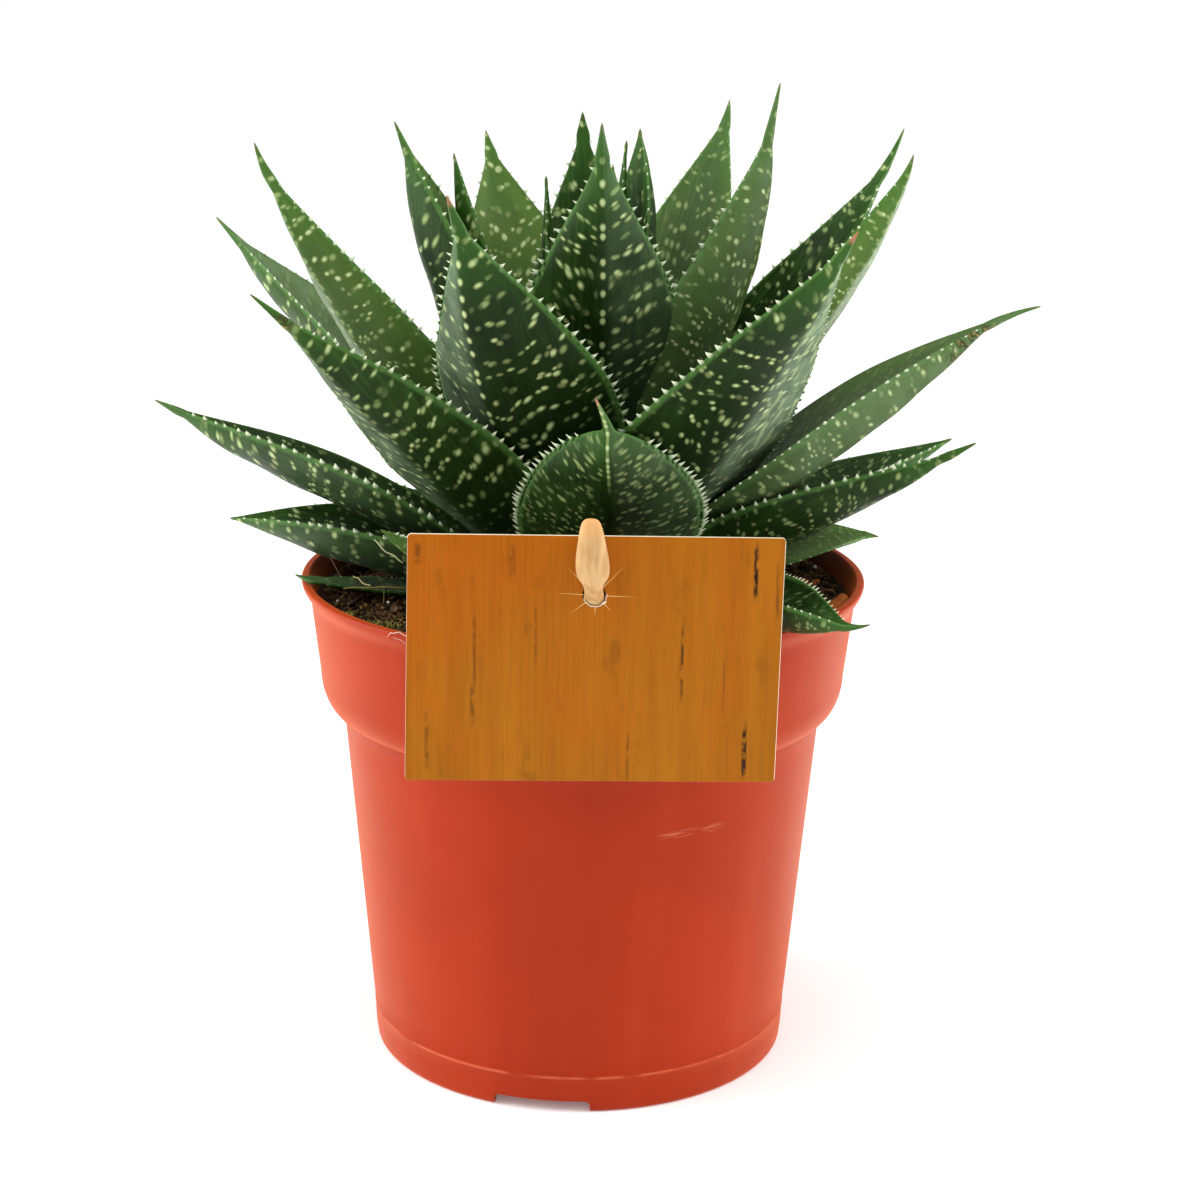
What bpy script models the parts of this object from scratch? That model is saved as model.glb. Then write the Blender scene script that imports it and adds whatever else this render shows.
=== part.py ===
# Potted gasteria: a rosette of toothed leaves on a short stem in a plastic pot of soil,
# with a label card that a bent peg holds against the rim.
# Metres, +Z up, origin on the floor under the middle of the pot, front of the plant at -Y.
import math

import bmesh
import bpy
from mathutils import Matrix, Vector

MM = 0.001
CLEARANCE = 0.3 * MM
MERGE = 0.00001

# Pot
POT_HEIGHT = 105 * MM
LIP_RADIUS = 60 * MM
LIP_ROUND = 1.2 * MM
LIP_INNER_ROUND = 0.6 * MM
WALL = 1.2 * MM
COLLAR_TOP_RADIUS = 58.4 * MM
COLLAR_TOP = 100 * MM
COLLAR_FOOT_RADIUS = 56.2 * MM
COLLAR_FOOT = 84.5 * MM
BODY_TOP_RADIUS = 51.4 * MM
BODY_TOP = 76.5 * MM
PARTING_RADIUS = 45.3 * MM
PARTING = 8 * MM
FOOT_RADIUS = 44.2 * MM
FOOT_WIDTH = 2.3 * MM
FOOT_ROUND = 0.8 * MM
SHOULDER_STEPS = 5
FLOOR_UNDERSIDE = 3 * MM
POT_SEGMENTS = 64
DRAIN_COUNT = 6
DRAIN_RADIUS = 3 * MM
DRAIN_SEGMENTS = 16
DRAIN_CIRCLE = 28 * MM
NOTCH_COUNT = 3
NOTCH_WIDTH = 20.5 * MM
NOTCH_HEIGHT = 2.6 * MM
FIRST_NOTCH_TURN = 260

# Soil and stem
SOIL_EDGE = 97.2 * MM
SOIL_MIDDLE = 98.9 * MM
SOIL_SWELL = 0.25 * MM
SOIL_SEGMENTS = 48
SOIL_RING_SHARES = (0.85, 0.68, 0.5, 0.34)
SWELLS_AROUND = 5
SWELL_SPACING = 4 * MM
STEM_SEGMENTS = 24
STEM_OUTLINE_MM = ((0, 70), (3, 72), (6.8, 90), (7.4, 98), (5.9, 102), (3.6, 108), (1.8, 113), (0, 116))

# Label card and peg
CARD_WIDTH = 72.5 * MM
CARD_HEIGHT = 49 * MM
CARD_THICKNESS = 0.7 * MM
CARD_CORNER = 0.8 * MM
CARD_MIDDLE = Vector((2.25, -60.65, 103.6)) * MM
CARD_TURN = 0.7
CARD_HOLE = Vector((2.1, -60.65, 115.5)) * MM
CARD_HOLE_RADIUS = 2.5 * MM
CARD_HOLE_SEGMENTS = 24
PEG_SIDES = 16
PEG_HOLE_RADIUS = 1.9 * MM
PEG_SHAFT_TOP = Vector((2.1, -58.2, 113)) * MM
PEG_SHAFT_END = Vector((1.8, -31.5, 75)) * MM
PEG_SHAFT_RADIUS = 1.6 * MM
PEG_SHAFT_SHARES = (0, 0.5, 0.93)
PEG_CROWN = Vector((1.4, -66, 133.7)) * MM
# Middle, half breadth and half depth in millimetres: first the flat head, then the bent neck.
PEG_HEAD_MM = (
    ((1.4, -65.9, 133.3), 1.5, 1.0),
    ((1.4, -65.7, 132.4), 2.2, 1.4),
    ((1.5, -65.3, 130.6), 2.7, 1.6),
    ((1.6, -64.7, 127.2), 3.0, 1.7),
    ((1.7, -64.1, 123.8), 3.1, 1.7),
    ((1.9, -63.5, 121.0), 2.6, 1.6),
    ((2.0, -63.0, 118.9), 1.8, 1.4),
)
PEG_NECK_MM = (
    ((2.1, -62.4, 117.4), 1.6, 1.3),
    ((2.1, -61.4, 116.2), 1.6, 1.3),
    ((2.1, -60.3, 115.3), 1.6, 1.3),
    ((2.1, -59.2, 114.3), 1.6, 1.4),
)

# Leaves: turn is the compass direction seen from above (0 is +X, 270 the front) and rise the
# angle above level, both in degrees at the root; curl, sway and roll are what they change by
# towards the tip. Lengths are millimetres; root is its distance from the axis and its height.
LEAF_DEFAULTS = dict(
    curl=0, sway=0, roll=0, thick=5.0, channel=0.16, neck=0.30, widest=0.30, fullness=1.12
)
LEAVES = [
    # Youngest leaves, nearly upright in the middle
    dict(
        turn=278, rise=68, length=91.5, width=34, root=(5.5, 117), curl=5, sway=-10,
        channel=0.14, widest=0.33,
    ),
    dict(
        turn=92, rise=77.5, length=79, width=26, root=(6.5, 122), curl=2, sway=2,
        roll=1, channel=0.18, neck=0.18, widest=0.45,
    ),
    dict(turn=160, rise=85, length=67, width=11, root=(4, 121), curl=2),
    dict(turn=20, rise=86, length=75.5, width=11, root=(3, 121), curl=-2, roll=-1, thick=3.5, channel=0.18),
    dict(turn=17, rise=83, length=77, width=26, root=(6, 121), curl=8, roll=15, neck=0.12, widest=0.45),
    dict(turn=182, rise=73, length=79, width=24, root=(5, 117), curl=2, roll=5, channel=0.14, widest=0.45),
    # Tall leaves round them
    dict(turn=214, rise=65, length=95.5, width=36, root=(7, 114.5), curl=4, channel=0.14),
    dict(turn=120, rise=64.5, length=88, width=36, root=(8.5, 112.5), curl=4, channel=0.14),
    dict(turn=48, rise=65.5, length=95.5, width=36, root=(6, 114), roll=-2, channel=0.14, widest=0.4),
    dict(
        turn=354, rise=63, length=100.5, width=36, root=(8, 114), curl=22, roll=-5,
        thick=4.5, channel=0.18, neck=0.26, widest=0.45,
    ),
    dict(
        turn=257, rise=51, length=96.5, width=42, root=(8.5, 114), curl=6, sway=-24,
        neck=0.22, widest=0.4,
    ),
    dict(turn=85, rise=51, length=92, width=34, root=(10, 110), curl=4, roll=-1),
    # Leaves that spread halfway
    dict(
        turn=303, rise=47.5, length=106, width=46, root=(11, 107), curl=6, sway=14,
        roll=-2, channel=0.14, neck=0.14, widest=0.45,
    ),
    dict(
        turn=206, rise=55.5, length=106.5, width=38, root=(10.5, 111), curl=-2, roll=-6,
        channel=0.18, neck=0.24, widest=0.41,
    ),
    dict(turn=16, rise=54, length=106, width=34, root=(8, 110), curl=2, roll=1, thick=4, neck=0.28),
    dict(turn=338, rise=54.5, length=105.5, width=36, root=(10, 109), curl=4, roll=-12, widest=0.4),
    dict(turn=222, rise=48, length=96.5, width=38, root=(13.5, 108), curl=-14, widest=0.36),
    dict(turn=170, rise=44, length=98, width=36, root=(9.5, 108.5), curl=2, neck=0.12, widest=0.45),
    dict(
        turn=343, rise=41, length=101.5, width=40, root=(13, 107.5), curl=-12, roll=2,
        channel=0.18, neck=0.12, widest=0.37,
    ),
    dict(turn=135, rise=30, length=76, width=32, root=(11.5, 108.5), curl=4, neck=0.28, widest=0.33),
    dict(turn=46, rise=30, length=76, width=32, root=(10, 108), curl=4, roll=2, neck=0.28, widest=0.31),
    # Low leaves
    dict(
        turn=282, rise=44, length=64, width=36, root=(13, 104), curl=16, sway=-16,
        channel=0.2, widest=0.45, fullness=0.85,
    ),
    dict(
        turn=186, rise=25.5, length=83.5, width=34, root=(14, 106), curl=2, roll=-8,
        channel=0.3, neck=0.16, widest=0.31,
    ),
    dict(
        turn=345, rise=25.5, length=82, width=30, root=(9, 101.5), curl=2, roll=-28,
        thick=4, channel=0.12, widest=0.32,
    ),
    dict(
        turn=10, rise=20, length=72, width=28, root=(12.5, 106), curl=2, roll=-1,
        thick=4.5, channel=0.26, neck=0.16, widest=0.37,
    ),
    dict(
        turn=63, rise=23, length=70, width=32, root=(12, 105.5), curl=4, roll=5,
        channel=0.18, widest=0.39,
    ),
    dict(
        turn=116, rise=26, length=72, width=32, root=(9.5, 103), curl=4, channel=0.12,
        neck=0.28, widest=0.38,
    ),
    # Oldest leaves, nearly level
    dict(
        turn=194, rise=14.5, length=63.5, width=30, root=(13.5, 103), curl=4, roll=-10,
        thick=3.5, channel=0.12, widest=0.37,
    ),
    dict(
        turn=231, rise=22, length=54, width=24, root=(12.5, 104.5), curl=4, roll=1,
        channel=0.14, widest=0.34,
    ),
    dict(
        turn=13, rise=15, length=52.5, width=24, root=(14.5, 101.5), curl=-16, roll=-1,
        thick=4, channel=0.08, widest=0.31,
    ),
    dict(
        turn=306, rise=19.5, length=65.5, width=28, root=(14.5, 101), curl=-30, sway=24,
        roll=24, thick=3.5, channel=0.18, widest=0.37,
    ),
    dict(turn=191, rise=7.5, length=47, width=12, root=(14.5, 101), thick=3, widest=0.31),
    dict(turn=145, rise=14, length=62, width=28, root=(13, 102), curl=4, channel=0.08),
    dict(
        turn=52, rise=16, length=62, width=28, root=(13.5, 102.5), curl=4, roll=-2,
        channel=0.22, widest=0.45,
    ),
    dict(turn=93, rise=9, length=55, width=26, root=(13.5, 102), curl=4, channel=0.08, neck=0.28),
]

# What all leaves share: the lengthwise steps, the teeth in millimetres, and the cross-section.
STATIONS = 9
STEPS_PER_STATION = 8
TEETH_PER_STATION = 2
TOOTH_REACH = 1.3
TOOTH_LEAN = 0.5
CURL_POWER = 1.5
ROLL_DONE_AT = 0.35
RING_SHARE = 0.55
KEEL_POWER = 1.25
ROOT_THICKNESS = 0.5
FULL_THICKNESS_AT = 0.25
MARGIN_THICKNESS = 0.25
THICKNESS_PER_WIDTH = 0.8
TIP_THINNING = 0.15
DEEPEST_HUG = 0.6
NEAREST_TO_AXIS = 3.0
LEAF_SMOOTH_ANGLE = 50


def clear_scene():
    for old in list(bpy.data.objects):
        bpy.data.objects.remove(old, do_unlink=True)


def material(name, color, roughness, metallic=0.0):
    made = bpy.data.materials.new(name)
    made.use_nodes = True
    shader = made.node_tree.nodes["Principled BSDF"]
    shader.inputs["Base Color"].default_value = (*color, 1)
    shader.inputs["Roughness"].default_value = roughness
    shader.inputs["Metallic"].default_value = metallic
    return made


def link(name, bm, made_of=None, smooth_angle=None):
    """Turn a finished bmesh into a named object with its material."""
    bmesh.ops.recalc_face_normals(bm, faces=bm.faces)
    mesh = bpy.data.meshes.new(name)
    bm.to_mesh(mesh)
    bm.free()
    if made_of is not None:
        mesh.materials.append(made_of)
    if smooth_angle is not None:
        mesh.shade_smooth()
        mesh.set_sharp_from_angle(angle=math.radians(smooth_angle))
    made = bpy.data.objects.new(name, mesh)
    bpy.context.scene.collection.objects.link(made)
    return made


def turned(name, outline, segments, made_of, smooth_angle=40):
    """Spin an outline of (radius, height) points about the vertical axis."""
    bm = bmesh.new()
    points = [bm.verts.new((radius, 0, height)) for radius, height in outline]
    edges = [bm.edges.new(pair) for pair in zip(points, points[1:])]
    bmesh.ops.spin(
        bm,
        geom=points + edges,
        cent=(0, 0, 0),
        axis=(0, 0, 1),
        angle=math.tau,
        steps=segments,
        use_merge=True,
    )
    bmesh.ops.remove_doubles(bm, verts=bm.verts, dist=MERGE)
    return link(name, bm, made_of, smooth_angle)


def arc(middle, across, upright, start, end, steps):
    """Points on an elliptical arc in the outline's plane, from start to end in degrees."""
    turns = [math.radians(start + (end - start) * k / steps) for k in range(steps + 1)]
    return [
        (middle[0] + across * math.cos(turn), middle[1] + upright * math.sin(turn)) for turn in turns
    ]


def cutter(name, bm):
    """A hidden tool for a Boolean."""
    made = link(name, bm)
    made.hide_render = True
    made.display_type = "WIRE"
    return made


def cut(target, tool):
    difference = target.modifiers.new("cut " + tool.name, "BOOLEAN")
    difference.operation = "DIFFERENCE"
    difference.solver = "EXACT"
    difference.object = tool


def pot_outside():
    """Outer side of the pot from its foot up to the top of the lip."""
    lip_middle = (LIP_RADIUS - LIP_ROUND, POT_HEIGHT - LIP_ROUND)
    shoulder_middle = (BODY_TOP_RADIUS, COLLAR_FOOT)
    shoulder_width = COLLAR_FOOT_RADIUS - BODY_TOP_RADIUS
    shoulder_height = COLLAR_FOOT - BODY_TOP
    shoulder = arc(shoulder_middle, shoulder_width, shoulder_height, -90, 0, SHOULDER_STEPS)
    return [
        (FOOT_RADIUS, 0),
        (FOOT_RADIUS + FOOT_ROUND, FOOT_ROUND),
        (PARTING_RADIUS, PARTING),
        *shoulder,
        (COLLAR_TOP_RADIUS - 0.5 * MM, COLLAR_TOP - 3 * MM),
        (COLLAR_TOP_RADIUS, COLLAR_TOP),
        (LIP_RADIUS - 0.2 * MM, COLLAR_TOP + LIP_ROUND),
        *arc(lip_middle, LIP_ROUND, LIP_ROUND, 0, 90, 3),
    ]


def pot_inside(inset):
    """Inner side of the pot from the lip down to the floor, moved inwards by inset."""
    floor_top = FLOOR_UNDERSIDE + WALL + inset
    return [
        (COLLAR_TOP_RADIUS - WALL - inset, COLLAR_TOP - 1 * MM),
        (COLLAR_FOOT_RADIUS - WALL - inset, COLLAR_FOOT + 0.4 * MM),
        (COLLAR_FOOT_RADIUS - 2.6 * MM - inset, COLLAR_FOOT - 4 * MM + inset),
        (BODY_TOP_RADIUS - WALL - inset, BODY_TOP + 0.8 * MM + inset),
        (PARTING_RADIUS - WALL - inset, PARTING),
        (FOOT_RADIUS - 1 * MM - inset, floor_top + 0.8 * MM),
        (FOOT_RADIUS - 1.8 * MM - inset, floor_top),
    ]


def make_pot(made_of):
    outline = [
        (0, FLOOR_UNDERSIDE),
        (FOOT_RADIUS - FOOT_WIDTH, FLOOR_UNDERSIDE),
        (FOOT_RADIUS - FOOT_WIDTH, 0),
        *pot_outside(),
        (COLLAR_TOP_RADIUS - WALL + LIP_INNER_ROUND, POT_HEIGHT),
        *pot_inside(0),
        (0, FLOOR_UNDERSIDE + WALL),
    ]
    pot = turned("pot", outline, POT_SEGMENTS, made_of)
    bm = bmesh.new()
    for k in range(DRAIN_COUNT):
        turn = math.tau * (k + 0.5) / DRAIN_COUNT
        made = bmesh.ops.create_cone(
            bm,
            cap_ends=True,
            segments=DRAIN_SEGMENTS,
            radius1=DRAIN_RADIUS,
            radius2=DRAIN_RADIUS,
            depth=4 * WALL,
        )
        place = (DRAIN_CIRCLE * math.cos(turn), DRAIN_CIRCLE * math.sin(turn), FLOOR_UNDERSIDE)
        bmesh.ops.translate(bm, verts=made["verts"], vec=place)
    for k in range(NOTCH_COUNT):
        turn = math.radians(FIRST_NOTCH_TURN + 360 * k / NOTCH_COUNT)
        made = bmesh.ops.create_cube(bm, size=1)
        bmesh.ops.scale(bm, verts=made["verts"], vec=(4 * FOOT_WIDTH, NOTCH_WIDTH, 2 * NOTCH_HEIGHT))
        bmesh.ops.translate(bm, verts=made["verts"], vec=(FOOT_RADIUS - FOOT_WIDTH / 2, 0, 0))
        bmesh.ops.rotate(
            bm, verts=made["verts"], cent=(0, 0, 0), matrix=Matrix.Rotation(turn, 3, "Z")
        )
    cut(pot, cutter("pot_holes", bm))
    return pot


def stem_outline():
    return [(radius * MM, height * MM) for radius, height in STEM_OUTLINE_MM]


def make_soil(made_of):
    """Soil that fills the pot, with a hollow round the stem and a hole for the peg."""
    wall = list(reversed(pot_inside(CLEARANCE)))
    edge_radius = COLLAR_TOP_RADIUS - WALL - CLEARANCE - 0.5 * MM
    rings = [(edge_radius, SOIL_EDGE)]
    hollow = [(radius + CLEARANCE, height) for radius, height in stem_outline() if height < SOIL_MIDDLE]
    hole_radius = hollow[-1][0] + 0.3 * MM
    for share in SOIL_RING_SHARES:
        height = SOIL_MIDDLE + (SOIL_EDGE - SOIL_MIDDLE) * share**3
        rings.append((edge_radius * share, height))
    outline = [
        (0, FLOOR_UNDERSIDE + WALL + CLEARANCE),
        *wall[:-1],
        *rings,
        (hole_radius, SOIL_MIDDLE),
        *reversed(hollow[1:-1]),
        (0, hollow[0][1] - CLEARANCE),
    ]
    soil = turned("soil", outline, SOIL_SEGMENTS, made_of)
    for vertex in soil.data.vertices:
        radius = math.hypot(vertex.co.x, vertex.co.y)
        inside = hole_radius * 1.2 < radius < edge_radius * 0.95
        if inside and vertex.co.z > SOIL_EDGE - MM:
            turn = math.atan2(vertex.co.y, vertex.co.x)
            vertex.co.z += SOIL_SWELL * math.sin(SWELLS_AROUND * turn + radius / SWELL_SPACING)
    shaft = PEG_SHAFT_END - PEG_SHAFT_TOP
    bm = bmesh.new()
    bmesh.ops.create_cone(
        bm,
        cap_ends=True,
        segments=PEG_SIDES,
        radius1=PEG_HOLE_RADIUS,
        radius2=PEG_HOLE_RADIUS,
        depth=shaft.length,
    )
    bmesh.ops.rotate(
        bm,
        verts=bm.verts,
        cent=(0, 0, 0),
        matrix=Vector((0, 0, 1)).rotation_difference(shaft).to_matrix(),
    )
    middle = (PEG_SHAFT_TOP + PEG_SHAFT_END) / 2
    bmesh.ops.translate(bm, verts=bm.verts, vec=middle + shaft.normalized() * MM)
    cut(soil, cutter("peg_hole", bm))
    return soil


def spine(leaf):
    """Stations from root to tip: share of the length, point, and the along, across and up axes."""
    turn = math.radians(leaf["turn"])
    rise = math.radians(leaf["rise"])
    curl = math.radians(leaf["curl"])
    sway = math.radians(leaf["sway"])
    count = STATIONS * STEPS_PER_STATION
    root_radius, root_height = leaf["root"]
    point = Vector((root_radius * math.cos(turn), root_radius * math.sin(turn), root_height))
    stations = []
    for k in range(count + 1):
        share = k / count
        if k % STEPS_PER_STATION == 0:
            heading = turn + sway * share
            slope = rise + curl * share**CURL_POWER
            along = direction(heading, slope)
            level = Vector((-math.sin(heading), math.cos(heading), 0))
            roll = math.radians(leaf["roll"]) * min(1, share / ROLL_DONE_AT)
            up = along.cross(level)
            across = level * math.cos(roll) + up * math.sin(roll)
            stations.append((share, point.copy(), along, across, along.cross(across), slope))
        middle = (k + 0.5) / count
        slope = rise + curl * middle**CURL_POWER
        point += direction(turn + sway * middle, slope) * leaf["length"] / count
    return stations


def direction(heading, slope):
    level = math.cos(slope)
    return Vector((level * math.cos(heading), level * math.sin(heading), math.sin(slope)))


def half_width(leaf, share):
    """Narrow neck, widest about a third of the way up, then a long taper to the point."""
    widest = leaf["widest"]
    if share < widest:
        swell = math.sin(math.pi / 2 * share / widest)
        return leaf["width"] / 2 * (leaf["neck"] + (1 - leaf["neck"]) * swell)
    return leaf["width"] / 2 * math.sin(math.pi / 2 * (1 - share) / (1 - widest)) ** leaf["fullness"]


def section(leaf, station):
    """Half width, depth of the channel on the upper face, and thickness at the keel."""
    share, point, _, _, _, slope = station
    half = half_width(leaf, share)
    from_axis = max(NEAREST_TO_AXIS, math.hypot(point.x, point.y))
    hug = half * half * math.sin(max(slope, 0)) / (2 * from_axis)
    channel = max(leaf["channel"] * half, min(hug, DEEPEST_HUG * half))
    growth = min(1, share / FULL_THICKNESS_AT)
    full = leaf["thick"] * (ROOT_THICKNESS + (1 - ROOT_THICKNESS) * growth)
    thick = min(full, MARGIN_THICKNESS + THICKNESS_PER_WIDTH * half)
    return half, channel, thick * (1 - TIP_THINNING * share)


def leaf_ring(leaf, station):
    """Eight points round the leaf: right margin, upper face, left margin, keeled lower face."""
    _, point, _, across, up, _ = station
    half, channel, thick = section(leaf, station)
    upper = [
        point + across * (x * half) + up * (channel * x * x) for x in (-1, -RING_SHARE, 0, RING_SHARE)
    ]
    lower = [
        point + across * (x * half) + up * (channel * x * x - thick * (1 - abs(x) ** KEEL_POWER))
        for x in (1, RING_SHARE, 0, -RING_SHARE)
    ]
    return upper + lower


def margin_row(bm, start, end, outwards, along):
    """Points along a margin from one ring to the next, every other one the tip of a tooth."""
    row = [start]
    for k in range(TEETH_PER_STATION):
        tip = start.co.lerp(end.co, (k + 0.5) / TEETH_PER_STATION)
        row.append(bm.verts.new(tip + outwards * TOOTH_REACH + along * TOOTH_LEAN))
        if k < TEETH_PER_STATION - 1:
            row.append(bm.verts.new(start.co.lerp(end.co, (k + 1) / TEETH_PER_STATION)))
    return row + [end]


def fan(bm, row, inner_start, inner_end):
    """Triangles between a margin row and the two points beside it on one face of the leaf."""
    half = len(row) // 2
    for k, pair in enumerate(zip(row, row[1:])):
        bm.faces.new((inner_start if k < half else inner_end, *pair))
    bm.faces.new((inner_start, row[half], inner_end))


def make_leaf(name, leaf, made_of):
    bm = bmesh.new()
    stations = spine(leaf)
    rings = [[bm.verts.new(point) for point in leaf_ring(leaf, s)] for s in stations[:-1]]
    tip = bm.verts.new(stations[-1][1])
    right, right_upper, left_upper, left, left_lower, right_lower = 0, 1, 3, 4, 5, 7
    for k, (ring, following) in enumerate(zip(rings, rings[1:])):
        for side in (right_upper, right_upper + 1, left_lower, left_lower + 1):
            a, b, c, d = ring[side], following[side], following[side + 1], ring[side + 1]
            bm.faces.new((a, b, c))
            bm.faces.new((a, c, d))
        across = stations[k][3].lerp(stations[k + 1][3], 0.5)
        margins = ((right, right_upper, right_lower, -1), (left, left_upper, left_lower, 1))
        for margin, upper, lower, sign in margins:
            row = [ring[margin], following[margin]]
            if k > 0:
                row = margin_row(bm, *row, across * sign, stations[k][2])
            fan(bm, row, ring[upper], following[upper])
            fan(bm, row, ring[lower], following[lower])
    last = rings[-1]
    for k in range(len(last)):
        bm.faces.new((last[k], last[(k + 1) % len(last)], tip))
    bm.faces.new(rings[0])
    bmesh.ops.triangulate(bm, faces=[f for f in bm.faces if len(f.verts) > 3])
    bmesh.ops.scale(bm, verts=bm.verts, vec=(MM, MM, MM))
    return link(name, bm, made_of, LEAF_SMOOTH_ANGLE)


def make_card(made_of):
    """A thin upright card that stands against the front of the lip, with a round hole."""
    bm = bmesh.new()
    bmesh.ops.create_cube(bm, size=1)
    bmesh.ops.scale(bm, verts=bm.verts, vec=(CARD_WIDTH, CARD_THICKNESS, CARD_HEIGHT))
    upright = [e for e in bm.edges if abs(e.verts[0].co.y - e.verts[1].co.y) > CARD_THICKNESS / 2]
    bmesh.ops.bevel(bm, geom=upright, offset=CARD_CORNER, segments=3, profile=0.5, affect="EDGES")
    bmesh.ops.rotate(
        bm,
        verts=bm.verts,
        cent=(0, 0, 0),
        matrix=Matrix.Rotation(math.radians(CARD_TURN), 3, "Y"),
    )
    bmesh.ops.translate(bm, verts=bm.verts, vec=CARD_MIDDLE)
    card = link("card", bm, made_of)
    bm = bmesh.new()
    bmesh.ops.create_cone(
        bm,
        cap_ends=True,
        segments=CARD_HOLE_SEGMENTS,
        radius1=CARD_HOLE_RADIUS,
        radius2=CARD_HOLE_RADIUS,
        depth=4 * CARD_THICKNESS,
    )
    bmesh.ops.rotate(
        bm, verts=bm.verts, cent=(0, 0, 0), matrix=Matrix.Rotation(math.pi / 2, 3, "X")
    )
    bmesh.ops.translate(bm, verts=bm.verts, vec=CARD_HOLE)
    cut(card, cutter("card_hole", bm))
    return card


def peg_sections():
    """Sections of the peg from its rounded head down to its point in the soil."""
    sections = [(Vector(middle) * MM, a * MM, b * MM) for middle, a, b in PEG_HEAD_MM + PEG_NECK_MM]
    for share in PEG_SHAFT_SHARES:
        middle = PEG_SHAFT_TOP.lerp(PEG_SHAFT_END, share)
        sections.append((middle, PEG_SHAFT_RADIUS, PEG_SHAFT_RADIUS))
    return sections


def make_peg(made_of):
    bm = bmesh.new()
    sections = peg_sections()
    middles = [middle for middle, _, _ in sections]
    rings = []
    for k, (middle, breadth, depth) in enumerate(sections):
        before = middles[max(k - 1, 0)]
        after = middles[min(k + 1, len(middles) - 1)]
        along = (after - before).normalized()
        sideways = (Vector((1, 0, 0)) - along * along.x).normalized()
        outwards = along.cross(sideways)
        ring = []
        for j in range(PEG_SIDES):
            turn = math.tau * j / PEG_SIDES
            offset = sideways * (breadth * math.cos(turn)) + outwards * (depth * math.sin(turn))
            ring.append(bm.verts.new(middle + offset))
        rings.append(ring)
    for ring, following in zip(rings, rings[1:]):
        for j in range(PEG_SIDES):
            n = (j + 1) % PEG_SIDES
            bm.faces.new((ring[j], ring[n], following[n], following[j]))
    for ring, point in ((rings[0], PEG_CROWN), (rings[-1], PEG_SHAFT_END)):
        pole = bm.verts.new(point)
        for j in range(PEG_SIDES):
            bm.faces.new((ring[j], ring[(j + 1) % PEG_SIDES], pole))
    return link("peg", bm, made_of, 50)


def main():
    clear_scene()
    plastic = material("terracotta plastic", (0.62, 0.09, 0.025), 0.42)
    peat = material("peat", (0.03, 0.016, 0.009), 0.95)
    stem_skin = material("stem", (0.16, 0.15, 0.06), 0.8)
    leaf_skin = material("leaf", (0.03, 0.085, 0.022), 0.45)
    board = material("card", (0.5, 0.2, 0.02), 0.5)
    pale = material("peg", (0.8, 0.66, 0.5), 0.6)
    make_pot(plastic)
    make_soil(peat)
    turned("stem", stem_outline(), STEM_SEGMENTS, stem_skin)
    for number, leaf in enumerate(LEAVES, start=1):
        make_leaf(f"leaf_{number:02d}", {**LEAF_DEFAULTS, **leaf}, leaf_skin)
    make_card(board)
    make_peg(pale)


main()
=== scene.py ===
import math
import random
from types import SimpleNamespace

import bpy
import numpy as np
from mathutils import Matrix, Vector, noise


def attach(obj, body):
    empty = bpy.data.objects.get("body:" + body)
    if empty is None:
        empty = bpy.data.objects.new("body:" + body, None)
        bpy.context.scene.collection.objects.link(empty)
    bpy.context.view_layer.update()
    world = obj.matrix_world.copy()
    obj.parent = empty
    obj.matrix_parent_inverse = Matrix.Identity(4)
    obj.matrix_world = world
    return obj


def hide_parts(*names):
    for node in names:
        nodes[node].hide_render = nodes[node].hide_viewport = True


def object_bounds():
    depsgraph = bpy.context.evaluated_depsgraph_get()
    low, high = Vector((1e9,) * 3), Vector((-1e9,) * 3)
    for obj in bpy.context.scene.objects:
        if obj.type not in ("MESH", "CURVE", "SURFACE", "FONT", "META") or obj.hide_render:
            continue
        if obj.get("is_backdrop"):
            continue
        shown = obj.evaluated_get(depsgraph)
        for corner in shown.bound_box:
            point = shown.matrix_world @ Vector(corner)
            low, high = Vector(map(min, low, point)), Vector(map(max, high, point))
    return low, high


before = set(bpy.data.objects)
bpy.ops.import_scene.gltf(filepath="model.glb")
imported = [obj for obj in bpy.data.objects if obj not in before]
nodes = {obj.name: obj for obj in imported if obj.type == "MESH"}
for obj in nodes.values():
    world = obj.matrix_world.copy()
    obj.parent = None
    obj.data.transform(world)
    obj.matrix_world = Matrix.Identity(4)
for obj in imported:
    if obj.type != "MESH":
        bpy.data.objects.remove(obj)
cad_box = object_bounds()
MM = 0.001

# Pot
# A 12 cm nursery pot, injection-moulded in terracotta-coloured polypropylene: a thin tapered wall,
# a collar with a rolled lip, a foot ring with three notches, and six drain holes in its floor.
POT_SIDES = 192
POT_HEIGHT = 105
LIP_RADIUS = 60
LIP_ROUND = 0.55
COLLAR_TOP = (58.2, 100.9)
COLLAR_FOOT = (56.2, 84.5)
BODY_TOP = (51.4, 76.5)
SHOULDER_ROUND = (4.6, 8.0)
PARTING = (45.3, 8.0)
INNER_TOP = (50.2, 77.3)
INNER_FOOT = (44.1, 8.0)
FOOT_RADIUS = 44.2
FLOOR_UNDERSIDE = 3.0
WALL = 1.2
SEAM_RIDGE = 0.1
DRAIN_HOLES = 6
DRAIN_RADIUS = 3
DRAIN_CIRCLE = 28
NOTCHES = 3
NOTCH_SIZE = (9, 20.5, 5.2)
NOTCH_ROUND = 1.1
NOTCH_CIRCLE = 43
FIRST_NOTCH_TURN = 260


def in_metres(point):
    """A point or size in metres from one in millimetres."""
    return [side * MM for side in point]


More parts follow.
